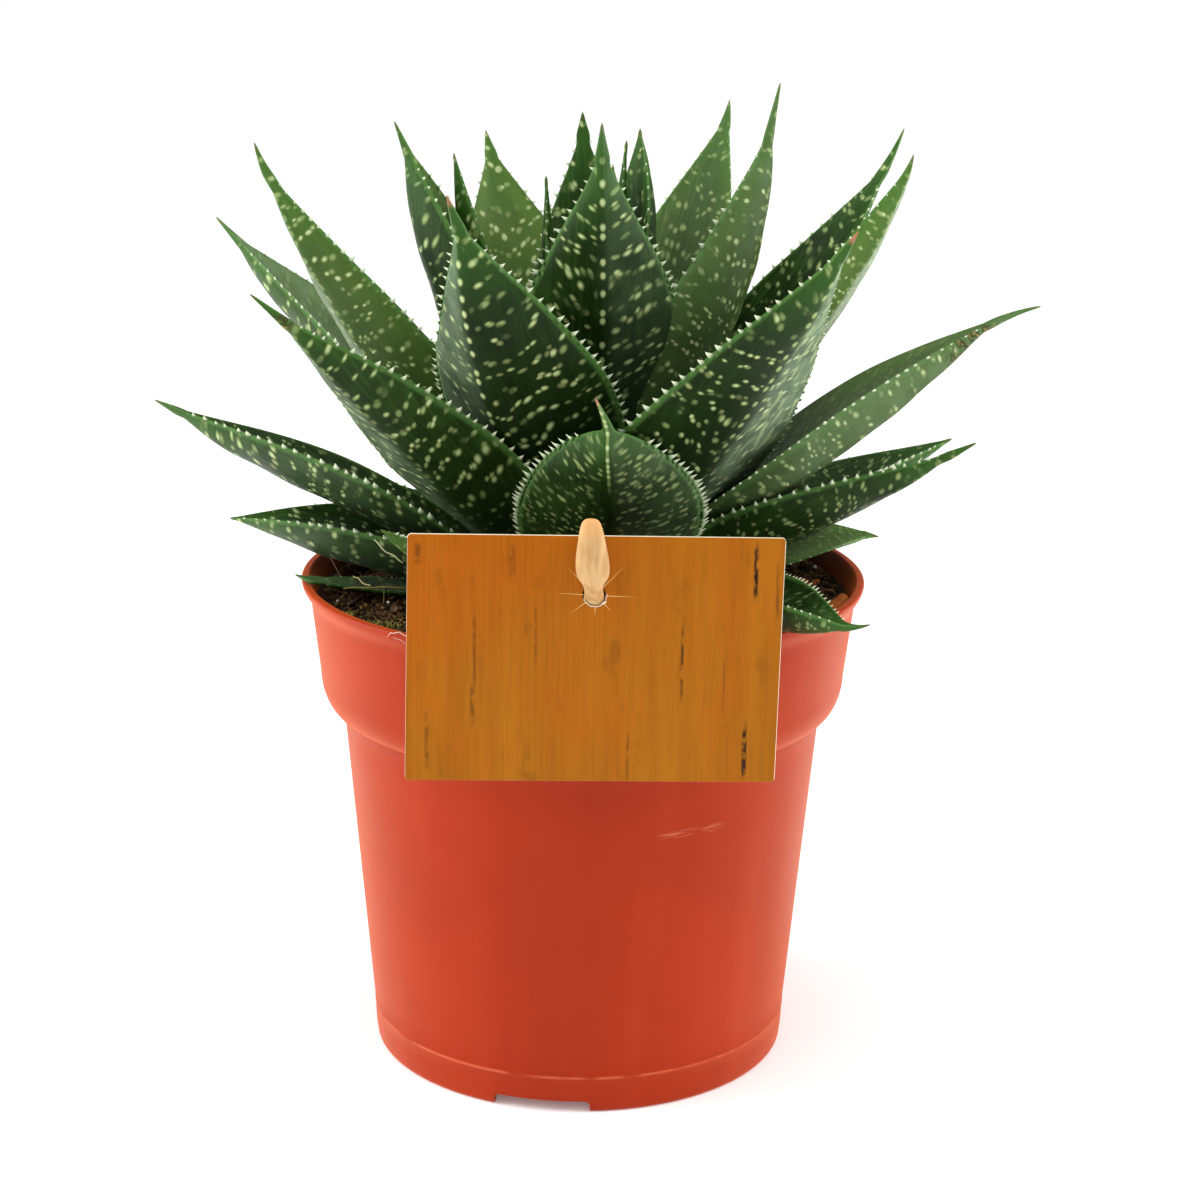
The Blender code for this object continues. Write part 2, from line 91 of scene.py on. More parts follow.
def take(piece):
    """Leave edit mode, and select one piece alone as the active one."""
    if bpy.context.object and bpy.context.object.mode == "EDIT":
        bpy.ops.object.mode_set(mode="OBJECT")
    bpy.ops.object.select_all(action="DESELECT")
    if piece:
        piece.select_set(True)
        bpy.context.view_layer.objects.active = piece


PRIMITIVES = {
    "circle": bpy.ops.mesh.primitive_circle_add, "cylinder": bpy.ops.mesh.primitive_cylinder_add,
    "cone": bpy.ops.mesh.primitive_cone_add, "ico_sphere": bpy.ops.mesh.primitive_ico_sphere_add,
    "cube": bpy.ops.mesh.primitive_cube_add, "plane": bpy.ops.mesh.primitive_plane_add,
    "grid": bpy.ops.mesh.primitive_grid_add,
}


def begin(kind, name, **settings):
    """Add a mesh primitive as a new piece and name it."""
    take(None)
    PRIMITIVES[kind](**settings)
    piece = bpy.context.object
    piece.name = piece.data.name = name
    return piece


def edit_all():
    """Open the active piece in edit mode with all of it selected."""
    bpy.ops.object.mode_set(mode="EDIT")
    bpy.ops.mesh.select_all(action="SELECT")


def turn_outwards():
    """Turn all faces of the edited piece outwards and leave edit mode."""
    bpy.ops.mesh.select_all(action="SELECT")
    bpy.ops.mesh.normals_make_consistent(inside=False)
    bpy.ops.object.mode_set(mode="OBJECT")


def close_up():
    """Fill the open ends of the edited piece, then turn its faces outwards."""
    bpy.ops.mesh.select_all(action="DESELECT")
    bpy.ops.mesh.select_non_manifold(extend=False)
    bpy.ops.mesh.edge_face_add()
    turn_outwards()


def arc(middle, across, upright, start, end, steps):
    """Points (radius, height) on an elliptical arc, from start to end in degrees."""
    turns = [math.radians(start + (end - start) * k / steps) for k in range(steps + 1)]
    return [(middle[0] + across * math.cos(t), middle[1] + upright * math.sin(t)) for t in turns]


def between(low, high, steps):
    """Points on a straight line between two (radius, height) points, without its ends."""
    return [[low[i] + (high[i] - low[i]) * k / steps for i in (0, 1)] for k in range(1, steps)]


def raised(name, sections, sides):
    """Raise a ring through sections (middle x, y, z, half breadth and half depth in mm), and close it."""
    piece = begin("circle", name, vertices=sides, radius=1, fill_type="NOTHING")
    edit_all()
    x, y, z, breadth, depth = in_metres(sections[0])
    bpy.ops.transform.resize(value=(breadth, depth, 1))
    bpy.ops.transform.translate(value=(x, y, z))
    for section in sections[1:]:
        new_x, new_y, new_z, new_breadth, new_depth = in_metres(section)
        shift = {"value": (new_x - x, new_y - y, new_z - z)}
        bpy.ops.mesh.extrude_region_move(TRANSFORM_OT_translate=shift)
        growth = (new_breadth / breadth, new_depth / depth, 1)
        bpy.ops.transform.resize(value=growth, center_override=(new_x, new_y, 0))
        x, y, z, breadth, depth = new_x, new_y, new_z, new_breadth, new_depth
    bpy.ops.mesh.edge_face_add()
    close_up()
    return piece


def turned(name, outline, sides):
    """Raise a round piece from its outline of (radius, height) in mm."""
    return raised(name, [(0, 0, height, radius, radius) for radius, height in outline], sides)


def modified(piece, kind, **settings):
    """Work a modifier with its settings into a piece."""
    take(piece)
    modifier = piece.modifiers.new(kind.lower(), kind)
    for key, value in settings.items():
        setattr(modifier, key, value)
    bpy.ops.object.modifier_apply(modifier=modifier.name)


def cut_out(piece, cutter):
    """Take one shape out of another and delete the cutter."""
    modified(piece, "BOOLEAN", object=cutter, operation="DIFFERENCE", solver="EXACT")
    bpy.data.objects.remove(cutter)


def soften(piece, angle):
    """Shade a piece smooth, apart from edges sharper than the angle in degrees."""
    take(piece)
    bpy.ops.object.shade_smooth_by_angle(angle=math.radians(angle))


def linear(hex_colour):
    """A colour from its sRGB hex value, as the linear values that shaders take."""
    parts = [int(hex_colour[k : k + 2], 16) / 255 for k in (1, 3, 5)]
    return (*(c / 12.92 if c <= 0.04045 else ((c + 0.055) / 1.055) ** 2.4 for c in parts), 1)


def material(name):
    """Begin a material. The steps below add nodes to it until the next material is begun."""
    global tree
    made = bpy.data.materials.new(name)
    made.use_nodes = True
    tree = made.node_tree
    return made


def plug(socket, value):
    """Set a socket, or link it where the value is a node or a node's output."""
    if isinstance(value, bpy.types.Node):
        value = next(output for output in value.outputs if output.enabled)
    if isinstance(value, bpy.types.NodeSocket):
        tree.links.new(value, socket)
    else:
        socket.default_value = value


def add(kind, settings=None, **inputs):
    """Add a node, change its settings, and plug in its inputs, by name or as _0, _1 and so on."""
    made = tree.nodes.new("ShaderNode" + kind)
    for key, value in (settings or {}).items():
        setattr(made, key, value)
    for key, value in inputs.items():
        plug(made.inputs[int(key[1:]) if key[0] == "_" else key.replace("_", " ")], value)
    return made


def blend(share, low, high):
    """Mix two colours, each given in hex or as what a node carries, by a share."""
    low, high = (linear(side) if isinstance(side, str) else side for side in (low, high))
    return add("Mix", {"data_type": "RGBA"}, _0=share, _6=low, _7=high)


def coated(colour, *coats):
    """Lay coats, each a share and a colour, over a first colour, one after the other."""
    for share, coat in coats:
        colour = blend(share, colour, coat)
    return colour


def ramp(value, low, high, to_low=0.0, to_high=1.0):
    """A smooth step of a value: to_low at low and to_high at high."""
    settings = {"interpolation_type": "SMOOTHSTEP"}
    inputs = {"Value": value, "From_Min": low, "From_Max": high, "To_Min": to_low, "To_Max": to_high}
    return add("MapRange", settings, **inputs)


def fade(value, low, high, most=1.0):
    """A falling step: most at low and nothing at high."""
    return ramp(value, low, high, most, 0.0)


def sum_up(operation, first, second=0.0, third=0.0):
    """One step of arithmetic on values."""
    return add("Math", {"operation": operation}, _0=first, _1=second, _2=third)


def times(first, *others):
    """The product of two or more values."""
    for other in others:
        first = sum_up("MULTIPLY", first, other)
    return first


def apart(value, middle):
    """How far a value is from a middle one."""
    return sum_up("ABSOLUTE", sum_up("SUBTRACT", value, middle))


def vectors(operation, first, second=(0, 0, 0)):
    """One step of arithmetic on coordinates."""
    return add("VectorMath", {"operation": operation}, _0=first, _1=second)


def reach_of(vector):
    """The length of a vector."""
    return vectors("LENGTH", vector).outputs["Value"]


def stretched(source, scale, where=(0, 0, 0)):
    """Coordinates multiplied along each axis, after a shift."""
    return vectors("MULTIPLY", vectors("SUBTRACT", source, where), scale)


def cloudy(source, scale, detail, dimensions="3D", **more):
    """Soft noise over coordinates, at one scale or at three, one for each axis."""
    if isinstance(scale, tuple):
        source, scale = stretched(source, scale), 1.0
    settings = {"noise_dimensions": dimensions}
    return add("TexNoise", settings, Vector=source, Scale=scale, Detail=detail, **more)


def finish(made, colour, relief=None, **values):
    """Give a material its colour, its relief (strength, distance, height) and its other values."""
    values["Base_Color"] = linear(colour) if isinstance(colour, str) else colour
    if relief:
        strength, distance, height = relief
        values["Normal"] = add("Bump", Strength=strength, Distance=distance, Height=height)
    for key, value in values.items():
        plug(made.node_tree.nodes["Principled BSDF"].inputs[key.replace("_", " ")], value)


def fit(piece, stuffs, slot, *replaced):
    """Coat a finished piece, let it ride on the body, and stand for its nodes. Its slot is not used."""
    for stuff in stuffs:
        piece.data.materials.append(stuff)
    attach(piece, "root")
    if replaced:
        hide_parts(*replaced)


# The wall's section as (radius, height) in mm: the underside outwards, up the outside, over the
# lip, down the inside and back to the middle of the floor.
pot_outline = [
    (12, FLOOR_UNDERSIDE), (26, FLOOR_UNDERSIDE), (38, FLOOR_UNDERSIDE), (41.6, FLOOR_UNDERSIDE),
    (41.9, 2.7), (41.9, 0.3), (42.2, 0), (43.8, 0),
    *arc((FOOT_RADIUS - 0.4, 1.2), 1.05, 1.2, -70, 0, 5),
    (45.08, 3.0), (45.22, 5.2), (PARTING[0], PARTING[1] - 0.25),
    (PARTING[0] + SEAM_RIDGE, PARTING[1] - 0.1),
    (PARTING[0] + SEAM_RIDGE, PARTING[1] + 0.1),
    (PARTING[0] + 0.02, PARTING[1] + 0.3),
    *between(PARTING, BODY_TOP, 14),
    (BODY_TOP[0] - 0.03, BODY_TOP[1] - 0.45),
    (BODY_TOP[0] + 0.12, BODY_TOP[1] - 0.2),
    *arc((BODY_TOP[0] + 0.2, COLLAR_FOOT[1]), *SHOULDER_ROUND, -88, 0, 14),
    *between(COLLAR_FOOT, (57.85, 98.6), 5),
    (57.85, 98.6), (57.95, 99.9), COLLAR_TOP, (58.7, 101.8), (59.3, 102.7), (59.8, 103.6),
    *arc((LIP_RADIUS - LIP_ROUND, POT_HEIGHT - LIP_ROUND), LIP_ROUND, LIP_ROUND, 0, 90, 6),
    *arc((58.7, POT_HEIGHT - 0.4), 0.4, 0.4, 90, 180, 4),
    (57.6, 103.0), (57.2, 99.5), (56.2, 91), (55.0, 84.9), (53.6, 80.8),
    INNER_TOP, *between(INNER_TOP, INNER_FOOT, 6), INNER_FOOT, (43.2, 5.0),
    *((radius, FLOOR_UNDERSIDE + WALL) for radius in (42.4, 26, 12)),
]
pot = turned("pot_moulded", pot_outline, POT_SIDES)
for number in range(DRAIN_HOLES):
    turn = math.tau * (number + 0.5) / DRAIN_HOLES
    place = in_metres((DRAIN_CIRCLE * math.cos(turn), DRAIN_CIRCLE * math.sin(turn), 3.5))
    drill = {"vertices": 32, "radius": DRAIN_RADIUS * MM, "depth": 6 * MM}
    cut_out(pot, begin("cylinder", "drill", location=place, **drill))
for number in range(NOTCHES):
    turn = math.radians(FIRST_NOTCH_TURN + 360 * number / NOTCHES)
    place = in_metres((NOTCH_CIRCLE * math.cos(turn), NOTCH_CIRCLE * math.sin(turn), 0))
    cutter = begin("cube", "notch", size=1, location=place, rotation=(0, 0, turn))
    cutter.scale = in_metres(NOTCH_SIZE)
    bpy.ops.object.transform_apply()
    modified(cutter, "BEVEL", width=NOTCH_ROUND * MM, segments=4)
    cut_out(pot, cutter)
soften(pot, 35)

# Moulded polypropylene: satin and slightly waxy, with faint upright flow lines, a pale broken line
# where the mould's halves met, one dry scuff on the front, and painted shade, nearly black, on the
# inner wall below the lip, down to the soil.
SCUFF = (0.0223, -0.045, 0.0627)
INNER_LEAN = -0.294
plastic = material("terracotta_polypropylene")
place = add("TexCoord").outputs["Object"]
height = add("SeparateXYZ", _0=place).outputs["Z"]
flow = cloudy(place, (110, 110, 4), 3.0)
cloud = cloudy(place, 28.0, 2.0)
body = blend(ramp(cloud, 0.35, 0.68), "#972402", "#9f2903")
body = blend(ramp(flow, 0.45, 0.75, 0.0, 0.35), body, "#aa3512")
for seam in (PARTING[1], BODY_TOP[1] - 0.15):
    line = fade(apart(height, seam * MM), 0.00012, 0.00045, 0.5)
    body = blend(times(line, ramp(cloudy(place, 170.0, 1.0), 0.3, 0.6)), body, "#d9704c")
scuff = add("SeparateXYZ", _0=stretched(place, (126, 60, 750), SCUFF)).outputs
lean = sum_up("MULTIPLY_ADD", scuff["X"], -0.15, scuff["Z"])
hairs = cloudy(place, (300, 300, 2600), 3.0)
scratch = times(
    fade(sum_up("ABSOLUTE", scuff["X"]), 0.5, 1.0), fade(sum_up("ABSOLUTE", lean), 0.1, 0.9),
    ramp(hairs, 0.42, 0.62, 0.0, 0.38), fade(scuff["Y"], 1.0, 2.0),
)
# The wall leans outwards, so the radius less that lean tells its inner side from its outer one.
sideways = reach_of(stretched(place, (1, 1, 0)))
inner = fade(sum_up("MULTIPLY_ADD", height, INNER_LEAN, sideways), 0.02825, 0.02845)
depth = sum_up("MULTIPLY_ADD", cloudy(place, (260, 260, 60), 4.0), 0.002, height)
# Painted shade: the inner wall from the soil up to just under the lip is painted nearly black.
smear = times(inner, fade(depth, 0.1048, 0.106, 0.97), ramp(height, 0.0985, 0.0995))
body = coated(body, (scratch, "#d98a6a"), (smear, "#0a0503"))
relief = sum_up("MULTIPLY_ADD", cloudy(place, (60, 60, 14), 2.0), 3.0, cloudy(place, 1400.0, 2.0))
finish(
    plastic, body, (0.12, 0.0002, relief), Roughness=ramp(cloud, 0.3, 0.7, 0.36, 0.44), IOR=1.49,
    Specular_IOR_Level=0.14, Sheen_Weight=0.75, Sheen_Roughness=0.45, Sheen_Tint=linear("#f87e40"),
)
fit(pot, [plastic], "pot", "pot")

# Soil
# Dark potting peat pressed in by hand, a few millimetres under the lip: a low mound of clods with
# loose crumbs, grit, flakes of bark, and the hair-thin roots and fibres that hold it together.
SOIL_SIDES = 240
SOIL_EDGE = 100.4
SOIL_MIDDLE = 102.0
SOIL_RADIUS = 56.7
CLOD_HEIGHT = 0.9


def soil_height(x, y):
    """Height of the soil in mm under a point in mm: a low mound broken into clods."""
    share = min(1.0, math.hypot(x, y) / SOIL_RADIUS)
    mound = SOIL_MIDDLE + (SOIL_EDGE - SOIL_MIDDLE) * share**3
    clods = noise.noise(Vector((x / 7, y / 7, 3.1))) + 0.6 * noise.noise(Vector((x / 2.6, y / 2.6, 8.4)))
    return mound + CLOD_HEIGHT * (clods + 0.3 * noise.noise(Vector((x / 1.1, y / 1.1, 5.0))))


soil_outline = [(20, 4.6), (41.8, 4.6), (43.6, 8.0), (49.7, 77.8), (53.0, 81.2), (54.5, 85.2)]
soil_outline += [(55.7, 91), (56.4, 97), (SOIL_RADIUS, SOIL_EDGE - 1.0)]
soil_outline += [(SOIL_RADIUS * (1 - k / 72), SOIL_EDGE) for k in range(71)]
soil = turned("soil_peat", soil_outline, SOIL_SIDES)
for vertex in soil.data.vertices:
    if vertex.co.z > (SOIL_EDGE - 0.5) * MM:
        vertex.co.z = soil_height(vertex.co.x / MM, vertex.co.y / MM) * MM
soften(soil, 60)

# Peat: decayed moss, nearly black when damp, with brown crumbs; it has no gloss at all.
peat = material("damp_peat")
place = add("TexCoord").outputs["Object"]
clod = cloudy(place, 260.0, 5.0, Roughness=0.65)
fleck = add("TexVoronoi", {"voronoi_dimensions": "3D"}, Vector=place, Scale=900.0)
colour = blend(ramp(clod, 0.35, 0.7), "#110a06", "#4d2f1c")
colour = blend(fade(fleck, 0.12, 0.3, 0.35), colour, "#7d5a38")
finish(peat, colour, (0.9, 0.0008, clod), Roughness=0.95, Specular_IOR_Level=0.2)
fit(soil, [peat], "soil", "soil")


def read_mesh(piece):
    """A piece's points as an array and its faces as tuples, and the piece deleted."""
    points = np.array([vertex.co for vertex in piece.data.vertices])
    faces = [tuple(face.vertices) for face in piece.data.polygons]
    bpy.data.objects.remove(piece)
    return points, faces


def mark(mesh, **values):
    """Write a value for every point, or one for each, as attributes that materials read."""
    for key, value in values.items():
        full = (np.zeros(len(mesh.vertices)) + value).astype(np.float32)
        mesh.attributes.new(key, "FLOAT", "POINT").data.foreach_set("value", full)


def gathered(name, points, faces, shade=None):
    """A new piece from points in metres and faces, with a shade for its points if given."""
    mesh = bpy.data.meshes.new(name)
    mesh.from_pydata(points, [], faces)
    if shade is not None:
        mark(mesh, shade=shade)
    piece = bpy.data.objects.new(name, mesh)
    bpy.context.scene.collection.objects.link(piece)
    return piece


def scattered(name, shape, places, shades=None):
    """One piece of many copies of a shape, each by its own 4x4 matrix, with a shade for each copy."""
    points, faces = shape
    step = len(points)
    all_points = np.concatenate([points @ m[:3, :3].T + m[:3, 3] for m in places])
    all_faces = [tuple(i + step * k for i in face) for k in range(len(places)) for face in faces]
    return gathered(name, all_points, all_faces, None if shades is None else np.repeat(shades, step))


def standing(point, axes, sizes):
    """A 4x4 matrix that stands a unit shape at a point along three axes with three sizes."""
    m = np.eye(4)
    for column, (axis, size) in enumerate(zip(axes, sizes)):
        m[:3, column] = np.array(axis) * size
    m[:3, 3] = point
    return m


def random_axes(dice):
    """Three perpendicular unit vectors, turned at random."""
    first = np.array([dice.gauss(0, 1) for _ in range(3)])
    first /= np.linalg.norm(first)
    second = np.cross(first, [dice.gauss(0, 1) for _ in range(3)])
    second /= np.linalg.norm(second)
    return first, second, np.cross(first, second)


def shaded_stuff(name, dark, light, roughness):
    """A rough natural stuff whose copies go from a dark to a light colour by their shade."""
    made = material(name)
    shade = add("Attribute", {"attribute_name": "shade"}).outputs["Fac"]
    mottle = cloudy(add("TexCoord").outputs["Object"], 700.0, 2.0)
    share = sum_up("MULTIPLY_ADD", mottle, 0.5, sum_up("SUBTRACT", shade, 0.25))
    relief = (0.4, 0.0003, mottle)
    finish(made, blend(share, dark, light), relief, Roughness=roughness, Specular_IOR_Level=0.15)
    return made


# A crumb is a lumpy ball, one unit in radius. Each kind has its seed, count, radii in mm,
# stretch along its axes, darkest and lightest colour, and roughness.
lump = begin("ico_sphere", "lump", subdivisions=2, radius=1)
for vertex in lump.data.vertices:
    vertex.co *= 1 + 0.35 * noise.noise(vertex.co * 1.7)
crumb_shape = read_mesh(lump)
CRUMB_KINDS = (
    ("soil_crumbs", 11, 2400, (0.3, 0.42, 0.55, 0.75), (1.5, 1.0, 0.75), "#120b07", "#6a4b29", 0.9),
    ("soil_grit", 13, 2300, (0.18, 0.26, 0.36), (1.8, 0.9, 0.7), "#0f0906", "#8a693e", 0.9),
    ("bark_flakes", 12, 300, (0.8, 1.1, 1.5), (1.7, 0.8, 0.28), "#180e09", "#65401f", 0.5),
)
for name, seed, count, sizes, stretch, dark, light, roughness in CRUMB_KINDS:
    dice = random.Random(seed)
    places, shades = [], []
    for _ in range(count):
        radius = SOIL_RADIUS * math.sqrt(dice.uniform(0.12, 0.94))
        turn = dice.uniform(0, math.tau)
        x, y = radius * math.cos(turn), radius * math.sin(turn)
        size = dice.choice(sizes) * dice.uniform(0.7, 1.25)
        point = np.array((x, y, soil_height(x, y) + 0.25 * size)) * MM
        spread = np.array([size * side * dice.uniform(0.8, 1.2) for side in stretch]) * MM
        places.append(standing(point, random_axes(dice), spread))
        shades.append(dice.uniform(0, 1) ** 1.7)
    crumbs = scattered(name, crumb_shape, places, shades)
    soften(crumbs, 50)
    fit(crumbs, [shaded_stuff(name + "_stuff", dark, light, roughness)], "soil")


def strand(points, radii, sides=4):
    """Points and faces of a thin closed tube through points in mm, with a radius at each."""
    points = np.array(points, float) * MM
    along = np.gradient(points, axis=0)
    along /= np.linalg.norm(along, axis=1, keepdims=True)
    sideways = np.cross(along, (0.13, 0.31, 0.94))
    sideways /= np.linalg.norm(sideways, axis=1, keepdims=True)
    upwards = np.cross(along, sideways)
    turns = (np.arange(sides) * math.tau / sides)[None, :, None]
    ring = np.cos(turns) * sideways[:, None] + np.sin(turns) * upwards[:, None]
    tube = points[:, None] + ring * (np.array(radii, float)[:, None, None] * MM)
    last = (len(points) - 1) * sides
    around = [(j, (j + 1) % sides) for j in range(sides)]
    faces = [(k + j, k + i, k + sides + i, k + sides + j) for k in range(0, last, sides) for j, i in around]
    return tube.reshape(-1, 3), faces + [tuple(range(sides))[::-1], tuple(range(last, last + sides))]


def strands(name, parts, shades):
    """One piece of several strands, each with its shade."""
    points, faces, shade = [], [], []
    for (tube, quads), value in zip(parts, shades):
        faces += [tuple(i + len(shade) for i in quad) for quad in quads]
        points.append(tube)
        shade += [value] * len(tube)
    piece = gathered(name, np.concatenate(points), faces, shade)
    take(piece)
    edit_all()
    turn_outwards()
    bpy.ops.object.shade_smooth()
    return piece


def wisp(dice, x, y, length, rise, steps=8):
    """Points of a thin fibre that wanders over the soil from a start in mm."""
    heading = dice.uniform(0, math.tau)
    points = []
    for k in range(steps + 1):
        points.append((x, y, soil_height(x, y) + 0.1 + rise * math.sin(math.pi * k / steps)))
        heading += dice.gauss(0, 0.35)
        x += math.cos(heading) * length / steps
        y += math.sin(heading) * length / steps
    return points


FIBRES = 620
dice = random.Random(23)
parts, shades = [], []
for _ in range(FIBRES):
    radius = 52 * math.sqrt(dice.uniform(0.05, 1))
    turn = dice.uniform(0, math.tau)
    length = dice.uniform(2.5, 9)
    points = wisp(dice, radius * math.cos(turn), radius * math.sin(turn), length, dice.uniform(0, 1.2))
    points = [p for p in points if math.hypot(p[0], p[1]) < SOIL_RADIUS - 0.8]
    if len(points) > 3:
        width = dice.uniform(0.06, 0.2)
        parts.append(strand(points, [width] * (len(points) - 1) + [width * 0.4]))
        shades.append(dice.uniform(0, 1) ** 1.6)
fibres = strands("peat_fibres", parts, shades)
fit(fibres, [shaded_stuff("root_and_peat_fibre", "#2a180e", "#a07c4a", 0.85)], "soil")

# Stem
# The short crown from which all the leaves grow, nearly hidden: fibrous and dull olive-brown, and
# soft and pale green at its top, where the next leaf is forming.
crown = material("crown_tissue")
place = add("TexCoord").outputs["Object"]
fibre = cloudy(place, (900, 900, 120), 3.0)
colour = blend(fibre, "#3c3a1c", "#6f6b3a")
colour = blend(ramp(add("SeparateXYZ", _0=place).outputs["Z"], 0.112, 0.117), colour, "#5c8038")
finish(crown, colour, (0.5, 0.0004, fibre), Roughness=0.75)
nodes["stem"].data.materials.clear()
nodes["stem"].data.materials.append(crown)

# Leaves
# Fleshy leaves of an aloe-like gasteria hybrid: channelled above, keeled below, with small white
# teeth along both margins, rows of raised white dots on the keel, and a hard pointed tip.


def grow(
    turn, rise, length, width, root, curl=0, sway=0, roll=0, thick=5.0, channel=0.16, neck=0.30, widest=0.30,
    fullness=1.12, tone=0.5, teeth=2.4, tooth=1.3, rust=0.1, skin="banded", keel_at=0, keel_dots=0.35,
    cusp=0, bend=0, lift=0, wrap=1, bloom=0.0, open=0.0, spots=1.0, dots=1.0, bald=0, above=(), scabs=(),
):
    """One leaf's values, with lengths in mm and turns in degrees.

    It leaves the stem at root (radius, height), turned by turn as seen from above, at a rise,
    and curl, sway and roll are what rise, turn and lie change by towards the tip. Channel, neck and
    keel_at are shares of its width, widest and cusp of its length, fullness is the power of its
    taper, wrap weighs how it hugs the stem, and bend and lift move the tip. Teeth is their spacing,
    tooth their size, and bald the side (-1 or 1) where they are worn down. The sheen weight paints a
    grey-green sheen, a painted reflection of a side light, on the side beyond the keel that its sign
    picks, and open flattens that side. Tone is the leaf's lightness, partly its own colour and partly
    painted light and shade. Tone, rust, keel_dots, spots and dots weigh the skin's colours, above
    gives tone, dots and painted sheen of the upper side, and scabs are old wounds (share of the
    length, place across, radius).
    """
    return SimpleNamespace(**locals())


